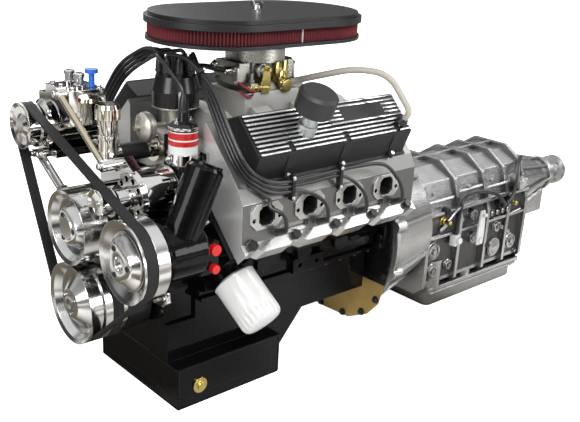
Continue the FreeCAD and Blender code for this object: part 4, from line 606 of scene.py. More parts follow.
class Shape:
    """A mesh put together from turned, cut and bent elements, in the engine's millimetres."""

    washer_height = 0.9
    head_foot = 0.8
    head_break = 0.12

    def __init__(self) -> None:
        """Start an empty mesh."""
        self.bm = bmesh.new()

    def join(self, part: bmesh.types.BMesh, place: Matrix) -> None:
        """Set an element in the mesh.

        Args:
            part: the element, which is used up.
            place: the matrix of its place.
        """
        bmesh.ops.remove_doubles(part, verts=part.verts, dist=0.001)
        part.transform(place)
        mesh = bpy.data.meshes.new("element")
        part.to_mesh(mesh)
        part.free()
        self.bm.from_mesh(mesh)
        bpy.data.meshes.remove(mesh)

    def turned(self, profile: Sequence[Pair], place: Matrix, steps: int = 32,
               swell: Callable[[float, float, float], float] | None = None) -> None:
        """Turn a profile about its height.

        Args:
            profile: radii and heights, from one end of the axis to the other.
            place: the matrix of its place.
            steps: the number of sides.
            swell: gives a radius's factor from the radius, the height and the angle.
        """
        part = bmesh.new()
        points = [part.verts.new((radius, 0, height)) for radius, height in profile]
        edges = [part.edges.new(pair) for pair in zip(points, points[1:])]
        bmesh.ops.spin(part, geom=points + edges, axis=UP, cent=(0, 0, 0), angle=math.tau, steps=steps,
                       use_merge=True)
        if swell:
            for vert in part.verts:
                radius = math.hypot(vert.co.x, vert.co.y)
                factor = swell(radius, vert.co.z, math.atan2(vert.co.y, vert.co.x))
                vert.co.x *= factor
                vert.co.y *= factor
        self.join(part, place)

    def disc(self, radius: float, height: float, place: Matrix, steps: int = 32, broken: float = 0.0) -> None:
        """Turn a plain disc or pin.

        Args:
            radius: its radius.
            height: its height.
            place: the matrix of its place.
            steps: the number of sides.
            broken: the width of the broken edge at its far end.
        """
        rim = [(radius, height - broken), (radius - broken, height)] if broken else [(radius, height)]
        self.turned([(0, 0), (radius, 0), *rim, (0, height)], place, steps)

    def plate(self, outline: Sequence[Pair], thickness: float, place: Matrix, edge: float = 0.6) -> None:
        """Cut a flat plate.

        Args:
            outline: its corners.
            thickness: its height above the place.
            place: the matrix of its place.
            edge: the width of its broken edges.
        """
        part = bmesh.new()
        face = part.faces.new([part.verts.new((x, y, 0)) for x, y in outline])
        raised = bmesh.ops.extrude_face_region(part, geom=[face])["geom"]
        moved = [item for item in raised if isinstance(item, bmesh.types.BMVert)]
        bmesh.ops.translate(part, vec=(0, 0, thickness), verts=moved)
        bmesh.ops.recalc_face_normals(part, faces=part.faces)
        bmesh.ops.bevel(part, geom=part.edges[:], offset=edge, offset_type="OFFSET", affect="EDGES",
                        segments=2, profile=0.5, material=-1)
        self.join(part, place)

    def block(self, width: float, depth: float, height: float, place: Matrix, edge: float = 0.8) -> None:
        """Mill a block that stands on its place.

        Args:
            width: its size along x.
            depth: its size along y.
            height: its size along z.
            place: the matrix of its place.
            edge: the width of its rounded edges.
        """
        corners = [(x * width / 2, y * depth / 2) for x, y in ((-1, -1), (1, -1), (1, 1), (-1, 1))]
        self.plate(corners, height, place, edge)

    def screw(self, across: float, height: float, place: Matrix, washer: float = 1.25) -> None:
        """Set a hexagon head on a washer.

        Args:
            across: the radius of the hexagon's corners.
            height: the head's height.
            place: the matrix of its place.
            washer: the washer's radius as a share of the hexagon's.
        """
        self.disc(across * washer, self.washer_height, place, 16)
        foot = place @ Matrix.Translation((0, 0, self.head_foot))
        self.plate(ring(6, across), height, foot, edge=across * self.head_break)

    def screws(self, places: Iterable[Triple], way: Triple, across: float, height: float,
               washer: float = 1.25) -> None:
        """Set several hexagon heads that face one way.

        Args:
            places: their places.
            way: the direction that they face.
            across: the radius of the hexagon's corners.
            height: the heads' height.
            washer: the washers' radius as a share of the hexagon's.
        """
        for place in places:
            self.screw(across, height, aimed(place, way), washer)

    def pipe(self, route: Sequence[Triple], radius: float) -> None:
        """Bend a pipe smoothly along a route.

        Args:
            route: its control points.
            radius: its outer radius.
        """
        curve = bpy.data.curves.new("route", "CURVE")
        curve.dimensions = "3D"
        curve.bevel_depth = radius
        curve.bevel_resolution = 3
        curve.resolution_u = 6
        curve.use_fill_caps = True
        spline = curve.splines.new("NURBS")
        spline.points.add(len(route) - 1)
        for spot, place in zip(spline.points, route):
            spot.co = (*place, 1)
        spline.order_u = 3
        spline.use_endpoint_u = True
        carrier = bpy.data.objects.new("route", curve)
        bpy.context.scene.collection.objects.link(carrier)
        mesh = bpy.data.meshes.new_from_object(carrier)
        self.bm.from_mesh(mesh)
        bpy.data.objects.remove(carrier)
        bpy.data.meshes.remove(mesh)
        bpy.data.curves.remove(curve)


class Slot(Enum):
    """The record's material slots that go with the pieces' finishes."""

    ENAMEL = "black_enamel"
    STEEL = "plain_steel"
    POLISHED = "polished"
    RUBBER = "lead_rubber"
    PLASTIC = "black_plastic"
    WHITE = "filter_white"
    BRASS = "brass"
    RED = "filter_red"
    SILVER = "carburettor_silver"
    ZINC = "zinc"


@dataclass
class Fitter:
    """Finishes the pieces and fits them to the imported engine."""

    paints: dict[Finishes, bpy.types.Material]
    smooth_below: float = math.radians(32)

    def fit(self, shape: Shape, name: str, finish: Finishes, slot: Slot, body: str = "engine",
            replaces: tuple[str, ...] = ()) -> None:
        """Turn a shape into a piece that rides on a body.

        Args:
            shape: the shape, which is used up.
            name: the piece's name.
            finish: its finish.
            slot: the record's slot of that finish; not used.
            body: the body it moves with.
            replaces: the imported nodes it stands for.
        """
        bm = shape.bm
        bmesh.ops.recalc_face_normals(bm, faces=bm.faces)
        for face in bm.faces:
            face.smooth = True
        for edge in bm.edges:
            edge.smooth = edge.calc_face_angle(0.0) < self.smooth_below
        bm.transform(Matrix.Translation(ORIGIN) @ Matrix.Scale(MM, 4))
        mesh = bpy.data.meshes.new(name)
        bm.to_mesh(mesh)
        bm.free()
        mesh.materials.append(self.paints[finish])
        piece = bpy.data.objects.new(name, mesh)
        bpy.context.scene.collection.objects.link(piece)
        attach(piece, body)
        if replaces:
            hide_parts(*replaces)
        LOG.info("%s has %d faces", name, len(mesh.polygons))


@dataclass
class AirCleaner:
    """The pleated element and its seam."""

    middle: float = 228.0
    reach: float = 102.0
    radius: float = 143.0
    low: float = 507.3
    high: float = 535.0
    pleats: int = 180
    pleat_depth: float = 7.0
    wall: float = 22.0
    seam_width: float = 2.4
    seam_depth: float = 3.0
    seam_place: Pair = (141.8, 231.0)

    def oval(self, share: float, radius: float) -> Pair:
        """Walk round the long oval.

        Args:
            share: how far round, from 0 to 1.
            radius: the distance from the oval's spine.

        Returns:
            The place across and along the engine.
        """
        straight = 2 * self.reach
        bend = math.pi * self.radius
        walk = share * 2 * (straight + bend)
        if walk < straight:
            return radius, self.middle - self.reach + walk
        if walk < straight + bend:
            angle = (walk - straight) / self.radius
            return radius * math.cos(angle), self.middle + self.reach + radius * math.sin(angle)
        if walk < 2 * straight + bend:
            return -radius, self.middle + self.reach - (walk - straight - bend)
        angle = math.pi + (walk - 2 * straight - bend) / self.radius
        return radius * math.cos(angle), self.middle - self.reach + radius * math.sin(angle)

    def fit(self, fitter: Fitter) -> None:
        """Fit the element and its seam.

        Args:
            fitter: finishes the pieces.
        """
        height = self.high - self.low
        shape = Shape()
        count = 2 * self.pleats
        rims = []
        for step in range(count):
            radii = (self.radius - self.pleat_depth * (step % 2), self.radius - self.wall)
            places = [(*self.oval(step / count, radius), self.low) for radius in radii]
            rims.append([shape.bm.verts.new(place) for place in places])
        floor = [shape.bm.faces.new((rims[step - 1][0], rims[step][0], rims[step][1], rims[step - 1][1]))
                 for step in range(count)]
        raised = bmesh.ops.extrude_face_region(shape.bm, geom=floor)["geom"]
        moved = [item for item in raised if isinstance(item, bmesh.types.BMVert)]
        bmesh.ops.translate(shape.bm, vec=(0, 0, height), verts=moved)
        fitter.fit(shape, "pleated_element", Finishes.RED, Slot.RED, replaces=("air_filter",))
        seam = Shape()
        seam.block(self.seam_depth, self.seam_width, height, aimed((*self.seam_place, self.low)), 0.4)
        fitter.fit(seam, "element_seam", Finishes.WHITE, Slot.WHITE)


@dataclass
class CoverTrim:
    """The polished rails of the valve covers' panels, and the hose's grommet."""

    rail_width: float = 4.0
    rail_height: float = 1.8
    rail_pitch: float = 9.5
    rails: int = 6
    cut_rails: tuple[int, ...] = (2, 3, 4)
    whole: Pair = (-4.0, 204.0)
    plain: Pair = (34.0, 158.0)
    grommet_place: Triple = (-72.0, 190.0, 408.0)
    grommet_profile: Pairs = ((7.2, 0), (13, 0), (14, 3), (12, 8), (9, 13), (7.2, 14), (7.2, 0))

    def fit(self, fitter: Fitter) -> None:
        """Fit the trim.

        Args:
            fitter: finishes the pieces.
        """
        rails = Shape()
        start, end = self.whole
        for side, sign in SIDES.items():
            for step in range(self.rails):
                cut = step in self.cut_rails
                for low, high in ((start, self.plain[0]), (self.plain[1], end)) if cut else (self.whole,):
                    across = FIRST_FIN + 2 + step * self.rail_pitch
                    foot = bank_point(side, across, (low + high) / 2, FIN_TOP)
                    place = aimed(foot, (sign * ROOT_HALF, 0, ROOT_HALF))
                    rails.block(high - low, self.rail_width, self.rail_height, place, 0.5)
        fitter.fit(rails, "cover_rails", Finishes.CHROME, Slot.POLISHED)
        grommet = Shape()
        grommet.turned(self.grommet_profile, aimed(bank_point("left", *self.grommet_place), BANK_UP))
        fitter.fit(grommet, "hose_grommet", Finishes.LEAD, Slot.RUBBER)


@dataclass
class Carburettor:
    """The bowls' covers, linkage, choke and fuel line of the carburettor."""

    bowls_at: Pairs = ((154.0, -1.0), (302.0, 1.0))
    bowl_foot: float = 412.0
    bowl_outline: Pairs = ((-41, 1), (-36, -4), (36, -4), (41, 1), (41, 32), (30, 43), (-30, 43), (-41, 32))
    bowl_cover: float = 5.0
    boss_profile: Pairs = ((0, 0), (9, 0), (9, 4), (6, 6), (0, 6))
    side: float = 44.0
    side_bosses: tuple[tuple[float, float, float, float], ...] = (
        (206, 438, 17, 14), (206, 438, 11, 20), (256, 446, 9, 12), (240, 428, 7, 16), (262, 428, 6, 14))
    choke_screws: Triples = ((46, 268, 424), (46, 268, 436), (46, 268, 448))
    pump_screws: Triples = ((58, 196, 438), (58, 216, 438))
    studs: Pairs = ((-50, 180), (-50, 276), (50, 180), (50, 276))
    stud_foot: float = 411.0
    linkage_place: Triple = (60, 240, 432)
    metal: float = 2.2
    cam: Pairs = ((-12, -20), (6, -24), (18, -8), (16, 12), (6, 26), (-6, 28), (-14, 10))
    arm: Pairs = ((-5, -46), (5, -46), (8, -10), (5, 20), (-5, 20), (-8, -10))
    pivots: Triples = ((240, 440, 12), (252, 424, 14), (262, 400, 8), (234, 452, 9), (248, 410, 10))
    pod_place: Triple = (58.0, 262.0, 404.0)
    pod_profile: Pairs = ((0, 0), (15, 0), (17, 3), (17, 8), (13, 13), (0, 14))
    ports: tuple[float, ...] = (168, 182, 196, 210)
    port_height: float = 404.0
    sleeves: tuple[Triples, ...] = (
        ((66, 168, 404), (74, 162, 402), (76, 152, 406), (68, 142, 414), (58, 138, 420)),
        ((58, 182, 404), (60, 176, 392), (66, 164, 386), (66, 150, 392), (56, 142, 402)))
    fuel_inlet: Triple = (26.0, 149.0, 440.0)
    fuel_union: Triple = (26.0, 140.0, 440.0)
    fuel_elbow: Triple = (26.0, 104.0, 452.0)
    fuel_elbow_way: Triple = (-0.4, -0.5, 0.6)
    fuel_hose: Triples = ((26, 128, 440), (28, 108, 444), (20, 84, 452), (-6, 66, 448), (-40, 70, 430),
                          (-74, 84, 400), (-92, 92, 372))

    def fit(self, fitter: Fitter) -> None:
        """Fit every piece of it.

        Args:
            fitter: finishes the pieces.
        """
        self.bowls(fitter)
        self.linkage(fitter)
        self.fuel_line(fitter)

    def bowls(self, fitter: Fitter) -> None:
        """Fit the bowls' covers and the body's bosses.

        Args:
            fitter: finishes the pieces.
        """
        shape = Shape()
        for y, sign in self.bowls_at:
            way = (0.0, sign, 0.0)
            turn = Matrix.Rotation(math.radians(-90 * sign), 4, "X")
            face = Matrix.Translation((0, y, self.bowl_foot)) @ turn
            outline = [(x, -sign * z) for x, z in self.bowl_outline][::int(-sign)]
            shape.plate(outline, self.bowl_cover, face, 1.2)
            shape.turned(self.boss_profile, aimed((0, y + self.bowl_cover * sign, 434), way), 24)
            head = y + (self.bowl_cover - 0.5) * sign
            shape.screws([(x, head, z) for z in (414, 444) for x in (-34, 34)], way, 4.5, 4)
            shape.screw(7, 8, aimed((-30 * sign, head, 438), way))
        for y, z, radius, height in self.side_bosses:
            shape.disc(radius, height, aimed((self.side, y, z), OUTWARD), 28, broken=2)
        shape.screws(self.choke_screws, OUTWARD, 3.4, 3)
        shape.screws(self.pump_screws, OUTWARD, 3, 3)
        for x, y in self.studs:
            shape.disc(4, 22, aimed((x, y, self.stud_foot)), 14)
            shape.screw(6.5, 6, aimed((x, y, self.stud_foot + 2)))
        fitter.fit(shape, "carburettor_details", Finishes.SILVER, Slot.SILVER)
        slide = Shape()
        slide.block(8, 9, 30, aimed((54, 224, 424)), 1.5)
        fitter.fit(slide, "choke_slide", Finishes.WHITE, Slot.WHITE)

    def linkage(self, fitter: Fitter) -> None:
        """Fit the plated levers, the vacuum pod, the brass fittings and the red sleeves.

        Args:
            fitter: finishes the pieces.
        """
        shape = Shape()
        upright = Matrix.Translation(self.linkage_place) @ Matrix.Rotation(math.radians(90), 4, "Y") \
            @ Matrix.Rotation(math.radians(90), 4, "Z")
        levers = ((self.cam, 0), ([(x * 0.7 + 8, y * 0.75 - 14) for x, y in self.cam], 6),
                  ([(x + 20, y + 6) for x, y in self.arm], 3),
                  ([(x - 6, y * 0.5 + 14) for x, y in self.arm], 9))
        for outline, out in levers:
            shape.plate(outline, self.metal, upright @ Matrix.Translation((0, 0, out)), 0.5)
        for y, z, height in self.pivots:
            shape.disc(5, height, aimed((self.linkage_place[0], y, z), OUTWARD), 16, broken=1)
        shape.turned(self.pod_profile, aimed(self.pod_place, OUTWARD), 28)
        for y in self.ports:
            shape.screw(5.5, 9, aimed((56, y, self.port_height), OUTWARD), 1.0)
            shape.disc(3, 8, aimed((64, y, self.port_height), OUTWARD), 12)
        fitter.fit(shape, "linkage_plates", Finishes.BRASS, Slot.BRASS)
        red = Shape()
        for route in self.sleeves:
            red.pipe(route, 2.6)
        fitter.fit(red, "vacuum_sleeves", Finishes.RED, Slot.RED)

    def fuel_line(self, fitter: Fitter) -> None:
        """Fit the fuel line from the front bowl down to the right.

        Args:
            fitter: finishes the pieces.
        """
        ends = Shape()
        ends.screw(9, 10, aimed(self.fuel_inlet, FORWARD), 1.0)
        ends.disc(7, 16, aimed(self.fuel_union, FORWARD), 20, broken=2)
        ends.screw(9, 10, aimed(self.fuel_elbow, self.fuel_elbow_way), 1.0)
        fitter.fit(ends, "fuel_fittings", Finishes.CHROME, Slot.POLISHED)
        hose = Shape()
        hose.pipe(self.fuel_hose, 6)
        fitter.fit(hose, "fuel_hose", Finishes.LEAD, Slot.RUBBER)


@dataclass
class Ignition:
    """The boots, clips and clamps of the ignition."""

    cap_y: float = 24.0
    cap_mouth: float = 444.0
    tower_circle: float = 33.0
    bore_spacing: float = 111.25
    exhaust_face: float = 243.0
    plug_height: float = 286.0
    coil_place: Pair = (100.0, -26.0)
    coil_top: float = 386.0
    comb_place: Triple = (102.0, 10.8, 453.0)
    comb_size: Triple = (50.0, 15.0, 9.0)
    side_comb_screws: Triples = ((259, 123.5, 231), (259, 123.5, 271), (259, 253.5, 231), (259, 253.5, 271))
    leads_spread: Triple = (3.85, -4.5, 5.7)
    leads_fall: Triple = (68.0, -6.5, -46.0)
    canister_place: Triple = (0.0, -54.0, 338.0)
    canister_dome: Pairs = ((0, 15), (5, 15), (6, 9), (16, 7), (24, 3), (28.6, 0), (28.6, -4), (27, -4))
    canister_rim: Pairs = ((28.2, -2), (30, -2), (30, 2), (28.2, 2))
    cap_band: Pairs = ((46.4, 372), (47.6, 373), (47.6, 375), (46.4, 376))
    clamp: Pairs = ((-16, -20), (16, -20), (24, 10), (10, 36), (-10, 36), (-24, 10))
    coil_crimp: Pairs = ((27, 354), (29.8, 355), (30.2, 357.5), (29.8, 360), (27, 361))

    def fit(self, fitter: Fitter) -> None:
        """Fit every piece of it.

        Args:
            fitter: finishes the pieces.
        """
        boots = Shape()
        for x, y in ring(8, self.tower_circle, 22.5):
            self.boot(boots, aimed((x, self.cap_y + y, self.cap_mouth)), 8.6, 30)
        self.boot(boots, aimed((0, self.cap_y, self.cap_mouth)), 8.8, 32)
        self.boot(boots, aimed((*self.coil_place, self.coil_top)), 10.5, 36)
        across = self.exhaust_face / ROOT_HALF - self.plug_height
        for side, sign in SIDES.items():
            way = Vector((sign, 0, 0.45)).normalized()
            for number in range(4):
                seat = bank_point(side, across, sign * (number - 1.5) * self.bore_spacing, self.plug_height)
                self.boot(boots, aimed(seat + way * 12, way), 8.5, 30)
        fitter.fit(boots, "lead_boots", Finishes.LEAD, Slot.RUBBER)
        self.combs(fitter)
        self.distributor(fitter)
        self.coil(fitter)

    def boot(self, shape: Shape, place: Matrix, radius: float, length: float) -> None:
        """Add one rubber boot with a rolled mouth.

        Args:
            shape: the shape it goes in.
            place: the matrix of its mouth.
            radius: its radius at the mouth.
            length: its length.
        """
        shape.turned([(5, 0), (radius, 0), (radius, 3), (radius - 1, 4), (radius - 1.4, length * 0.6),
                      (5.6, length * 0.9), (4.6, length), (4.1, length)], place, 20)

    def combs(self, fitter: Fitter) -> None:
        """Fit the upper comb and the screws of the combs.

        Args:
            fitter: finishes the pieces.
        """
        spread = Vector(self.leads_spread).normalized()
        fall = Vector(self.leads_fall).normalized()
        across = fall.cross(spread).normalized()
        place = Vector(self.comb_place)
        comb = Shape()
        turn = Matrix((spread, across, fall)).transposed().to_4x4()
        comb.block(*self.comb_size, Matrix.Translation(place) @ turn, 1.5)
        fitter.fit(comb, "upper_comb", Finishes.PLASTIC, Slot.PLASTIC)
        screws = Shape()
        outer = across if across.x > 0 else -across
        for reach in (-20, 20):
            seat = place + spread * reach + fall * self.comb_size[2] / 2 + outer * self.comb_size[1] / 2
            screws.screw(3.2, 2.5, aimed(seat, outer), 1.3)
        screws.screws(self.side_comb_screws, OUTWARD, 3.2, 2.5, 1.3)
        fitter.fit(screws, "comb_screws", Finishes.CHROME, Slot.POLISHED)

    def distributor(self, fitter: Fitter) -> None:
        """Fit the cap's clips and band, the vacuum canister's dome and the clamp.

        Args:
            fitter: finishes the pieces.
        """
        shape = Shape()
        axis = Matrix.Translation((0, self.cap_y, 0))
        for angle in (-20, 160):
            turn = axis @ Matrix.Rotation(math.radians(angle), 4, "Z")
            shape.block(3, 14, 42, turn @ Matrix.Translation((49.6, 0, 366)), 0.8)
            shape.block(10, 12, 4, turn @ Matrix.Translation((46, 0, 407)), 0.8)
        shape.turned(self.canister_dome, aimed(self.canister_place, FORWARD), 36)
        shape.turned(self.canister_rim, aimed(Vector(self.canister_place) + Vector((0, 8, 0)), FORWARD), 36)
        shape.turned(self.cap_band, aimed((0, self.cap_y, 0)), 40)
        shape.plate(self.clamp, 5, aimed((26, 26, 311), UP, 250))
        shape.screw(8, 8, aimed((50, 16, 316)))
        fitter.fit(shape, "distributor_details", Finishes.SILVER, Slot.SILVER)

    def coil(self, fitter: Fitter) -> None:
        """Fit the coil's posts, nuts and crimped rim.

        Args:
            fitter: finishes the pieces.
        """
        x, y = self.coil_place
        shape = Shape()
        shape.turned(self.coil_crimp, aimed((x, y, 0)), 40)
        for reach in (-16, 16):
            shape.disc(2.5, 12, aimed((x, y + reach, 364)), 12)
            shape.screw(4.6, 4, aimed((x, y + reach, 366)), 1.3)
        shape.screw(5, 5, aimed((x, y - 34, 298), FORWARD))
        fitter.fit(shape, "coil_fittings", Finishes.CHROME, Slot.POLISHED)


@dataclass(frozen=True)
class Nose:
    """The raised middle of a pulley, which turns with a body of its own."""

    name: str
    body: str
    foot: Triple
    rise: float
    radius: float


@dataclass
class FrontDrive:
    """The pulleys' noses, their bolts, and the bolts and ports of the brackets and front units."""

    noses: tuple[Nose, ...] = (Nose("pump_nose", "water_pump_rotor", (0, -204, 161), 22, 50),
                               Nose("steering_nose", "steering_rotor", (190, -210, 153), 16, 54))
    face_share: float = 0.62
    lobe_swell: float = 0.14
    bolt_share: float = 0.86
    nose_bolt: Pairs = ((0, 0), (5.4, 0), (5.4, 3.4), (4.8, 3.8), (2.8, 3.8), (2.8, 1.5), (0, 1.5))
    crank_face: float = -223.0
    crank_washer: Pairs = ((0, 0), (17, 0), (17, 3), (14, 4), (0, 4))
    bracket_bolts: Pairs = ((-92, 400), (72, 297), (-90, 202), (-200, 256), (-176, 259))
    compressor_bolts: Pairs = ((-168, -158), (-168, -104), (-86, -158), (-86, -100), (-128, -160),
                               (-128, -98))
    port: Pairs = ((0, 0), (12, 0), (12, 6), (9, 8), (9, 20), (11, 21), (11, 27), (8, 29), (0, 29))
    bracket_face: float = -190.0
    compressor_top: float = 405.0
    port_places: Triples = ((-150, -130, 404.5), (-110, -130, 404.5))
    upper_middle: Triple = (-196.0, -169.0, 318.0)
    lower_middle: Triple = (100.0, -139.0, 236.0)
    steering_middle: Triple = (190.0, -151.0, 153.0)
    clamp_band: Pairs = ((20.2, 0), (21.6, 0), (21.6, 9), (20.2, 9))
    clamp_places: Triples = ((-44, -106, 282), (-44, -106, 312))
    foot_plate: Pairs = ((-30, -14), (-10, -22), (14, -20), (30, -6), (26, 16), (8, 22), (-18, 18))
    foot_place: Triple = (104.0, -74.0, 18.0)
    foot_boss: Triple = (100.0, -82.0, 18.0)
    foot_screws: Triples = ((84, -84, 12), (124, -84, 22))

    def fit(self, fitter: Fitter) -> None:
        """Fit every piece of it.

        Args:
            fitter: finishes the pieces.
        """
        for nose in self.noses:
            self.nose(fitter, nose)
        crank = Shape()
        crank.turned(self.crank_washer, aimed((0, self.crank_face, 0), FORWARD), 24)
        crank.screw(13, 1.5, aimed((0, self.crank_face - 1.5, 0), FORWARD), 1.2)
        crank.screws([(x, self.crank_face + 0.4, z) for x, z in ring(3, 23, 30)], FORWARD, 5, 3)
        fitter.fit(crank, "crank_bolts", Finishes.ZINC, Slot.ZINC, "crank_set")
        self.fasteners(fitter)
        self.foot(fitter)

    def nose(self, fitter: Fitter, nose: Nose) -> None:
        """Fit a raised three-lobed nose with its bolts.

        Args:
            fitter: finishes the pieces.
            nose: its name, body, place and size.
        """
        face = nose.radius * self.face_share

        def lobes(reach: float, height: float, angle: float) -> float:
            """Swell the face into three lobes.

            Args:
                reach: the point's radius.
                height: its height.
                angle: its angle.

            Returns:
                The radius's factor.
            """
            share = max(0.0, height / nose.rise)
            return 1 + self.lobe_swell * share * math.cos(3 * angle) * min(1.0, reach / face)

        profile = [(nose.radius, 0), (nose.radius - 4, 1), (face + 4, nose.rise - 3),
                   (face + 1, nose.rise - 0.6), (face - 1, nose.rise), (face * 0.5, nose.rise),
                   (face * 0.42, nose.rise - 1), (face * 0.36, nose.rise * 0.45), (0, nose.rise * 0.3)]
        foot = aimed(nose.foot, FORWARD)
        shape = Shape()
        shape.turned(profile, foot, 72, lobes)
        fitter.fit(shape, nose.name, Finishes.TURNED, Slot.POLISHED, nose.body)
        bolts = Shape()
        for x, y in ring(3, face * self.bolt_share):
            bolts.turned(self.nose_bolt, aimed(foot @ Vector((x, y, nose.rise - 2.2)), FORWARD), 18)
        fitter.fit(bolts, nose.name + "_bolts", Finishes.DARK, Slot.STEEL, nose.body)

    def fasteners(self, fitter: Fitter) -> None:
        """Fit the bolts and ports of the brackets, the compressor, the alternator and the steering pump.

        Args:
            fitter: finishes the pieces.
        """
        shape = Shape()
        shape.screws([(x, self.bracket_face, z) for x, z in self.bracket_bolts], FORWARD, 7, 6)
        shape.screws([(x, y, self.compressor_top) for x, y in self.compressor_bolts], UP, 5.5, 5)
        for place in self.port_places:
            shape.turned(self.port, aimed(place), 24)
        for (x, y, z), radius in ((self.lower_middle, 47), (self.upper_middle, 42)):
            shape.screws([(x + out, y, z + up) for out, up in ring(4, radius, 45)], FORWARD, 5, 5)
        x, y, z = self.steering_middle
        shape.screws([(x + 50 * out, y, z + 46 * up) for out, up in ring(6)], FORWARD, 4.5, 4)
        for place in self.clamp_places:
            shape.turned(self.clamp_band, aimed(place), 32)
        fitter.fit(shape, "front_fasteners", Finishes.CHROME, Slot.POLISHED)

    def foot(self, fitter: Fitter) -> None:
        """Fit the pump's foot on the block's front.

        Args:
            fitter: finishes the pieces.
        """
        foot = Shape()
        place = Matrix.Translation(self.foot_place) @ Matrix.Rotation(math.radians(90), 4, "X")
        foot.plate(self.foot_plate, 10, place, 2)
        foot.disc(13, 16, aimed(self.foot_boss, FORWARD), 28, broken=4)
        foot.screws(self.foot_screws, FORWARD, 6, 5)
        fitter.fit(foot, "front_foot", Finishes.CHROME, Slot.POLISHED)


@dataclass
class Filter:
    """The oil filter's can with its flutes."""

    foot: Triple = (172.0, 47.0, 52.0)
    way: Triple = (97.0, 17.0, -80.0)
    profile: Pairs = ((0, 0), (30, 0), (30, 5), (44, 5), (46, 7), (46, 10), (45, 12), (45, 60), (45, 84),
                      (45, 88), (45, 94), (45, 101), (44, 107), (41, 112), (36, 115.5), (28, 117),
                      (20, 117.4), (14, 118), (0, 118))
    flutes: int = 22
    flute_depth: float = 0.055
    flute_start: float = 84.0
    flute_end: float = 113.0
    fluted_beyond: float = 30.0

    def press(self, reach: float, height: float, angle: float) -> float:
        """Press the wrench's flutes into the far end.

        Args:
            reach: the point's radius.
            height: its height.
            angle: its angle.

        Returns:
            The radius's factor.
        """
        rise = max(0.0, min(1.0, (height - self.flute_start) / 4))
        fade = max(0.0, min(1.0, (self.flute_end - height) / 5))
        depth = self.flute_depth * rise * fade
        return 1 - depth * (0.5 + 0.5 * math.cos(self.flutes * angle)) if reach > self.fluted_beyond else 1.0

    def fit(self, fitter: Fitter) -> None:
        """Fit the can.

        Args:
            fitter: finishes the pieces.
        """
        shape = Shape()
        shape.turned(self.profile, aimed(self.foot, self.way), 120, self.press)
        fitter.fit(shape, "filter_can", Finishes.WHITE, Slot.WHITE, replaces=("oil_filter",))


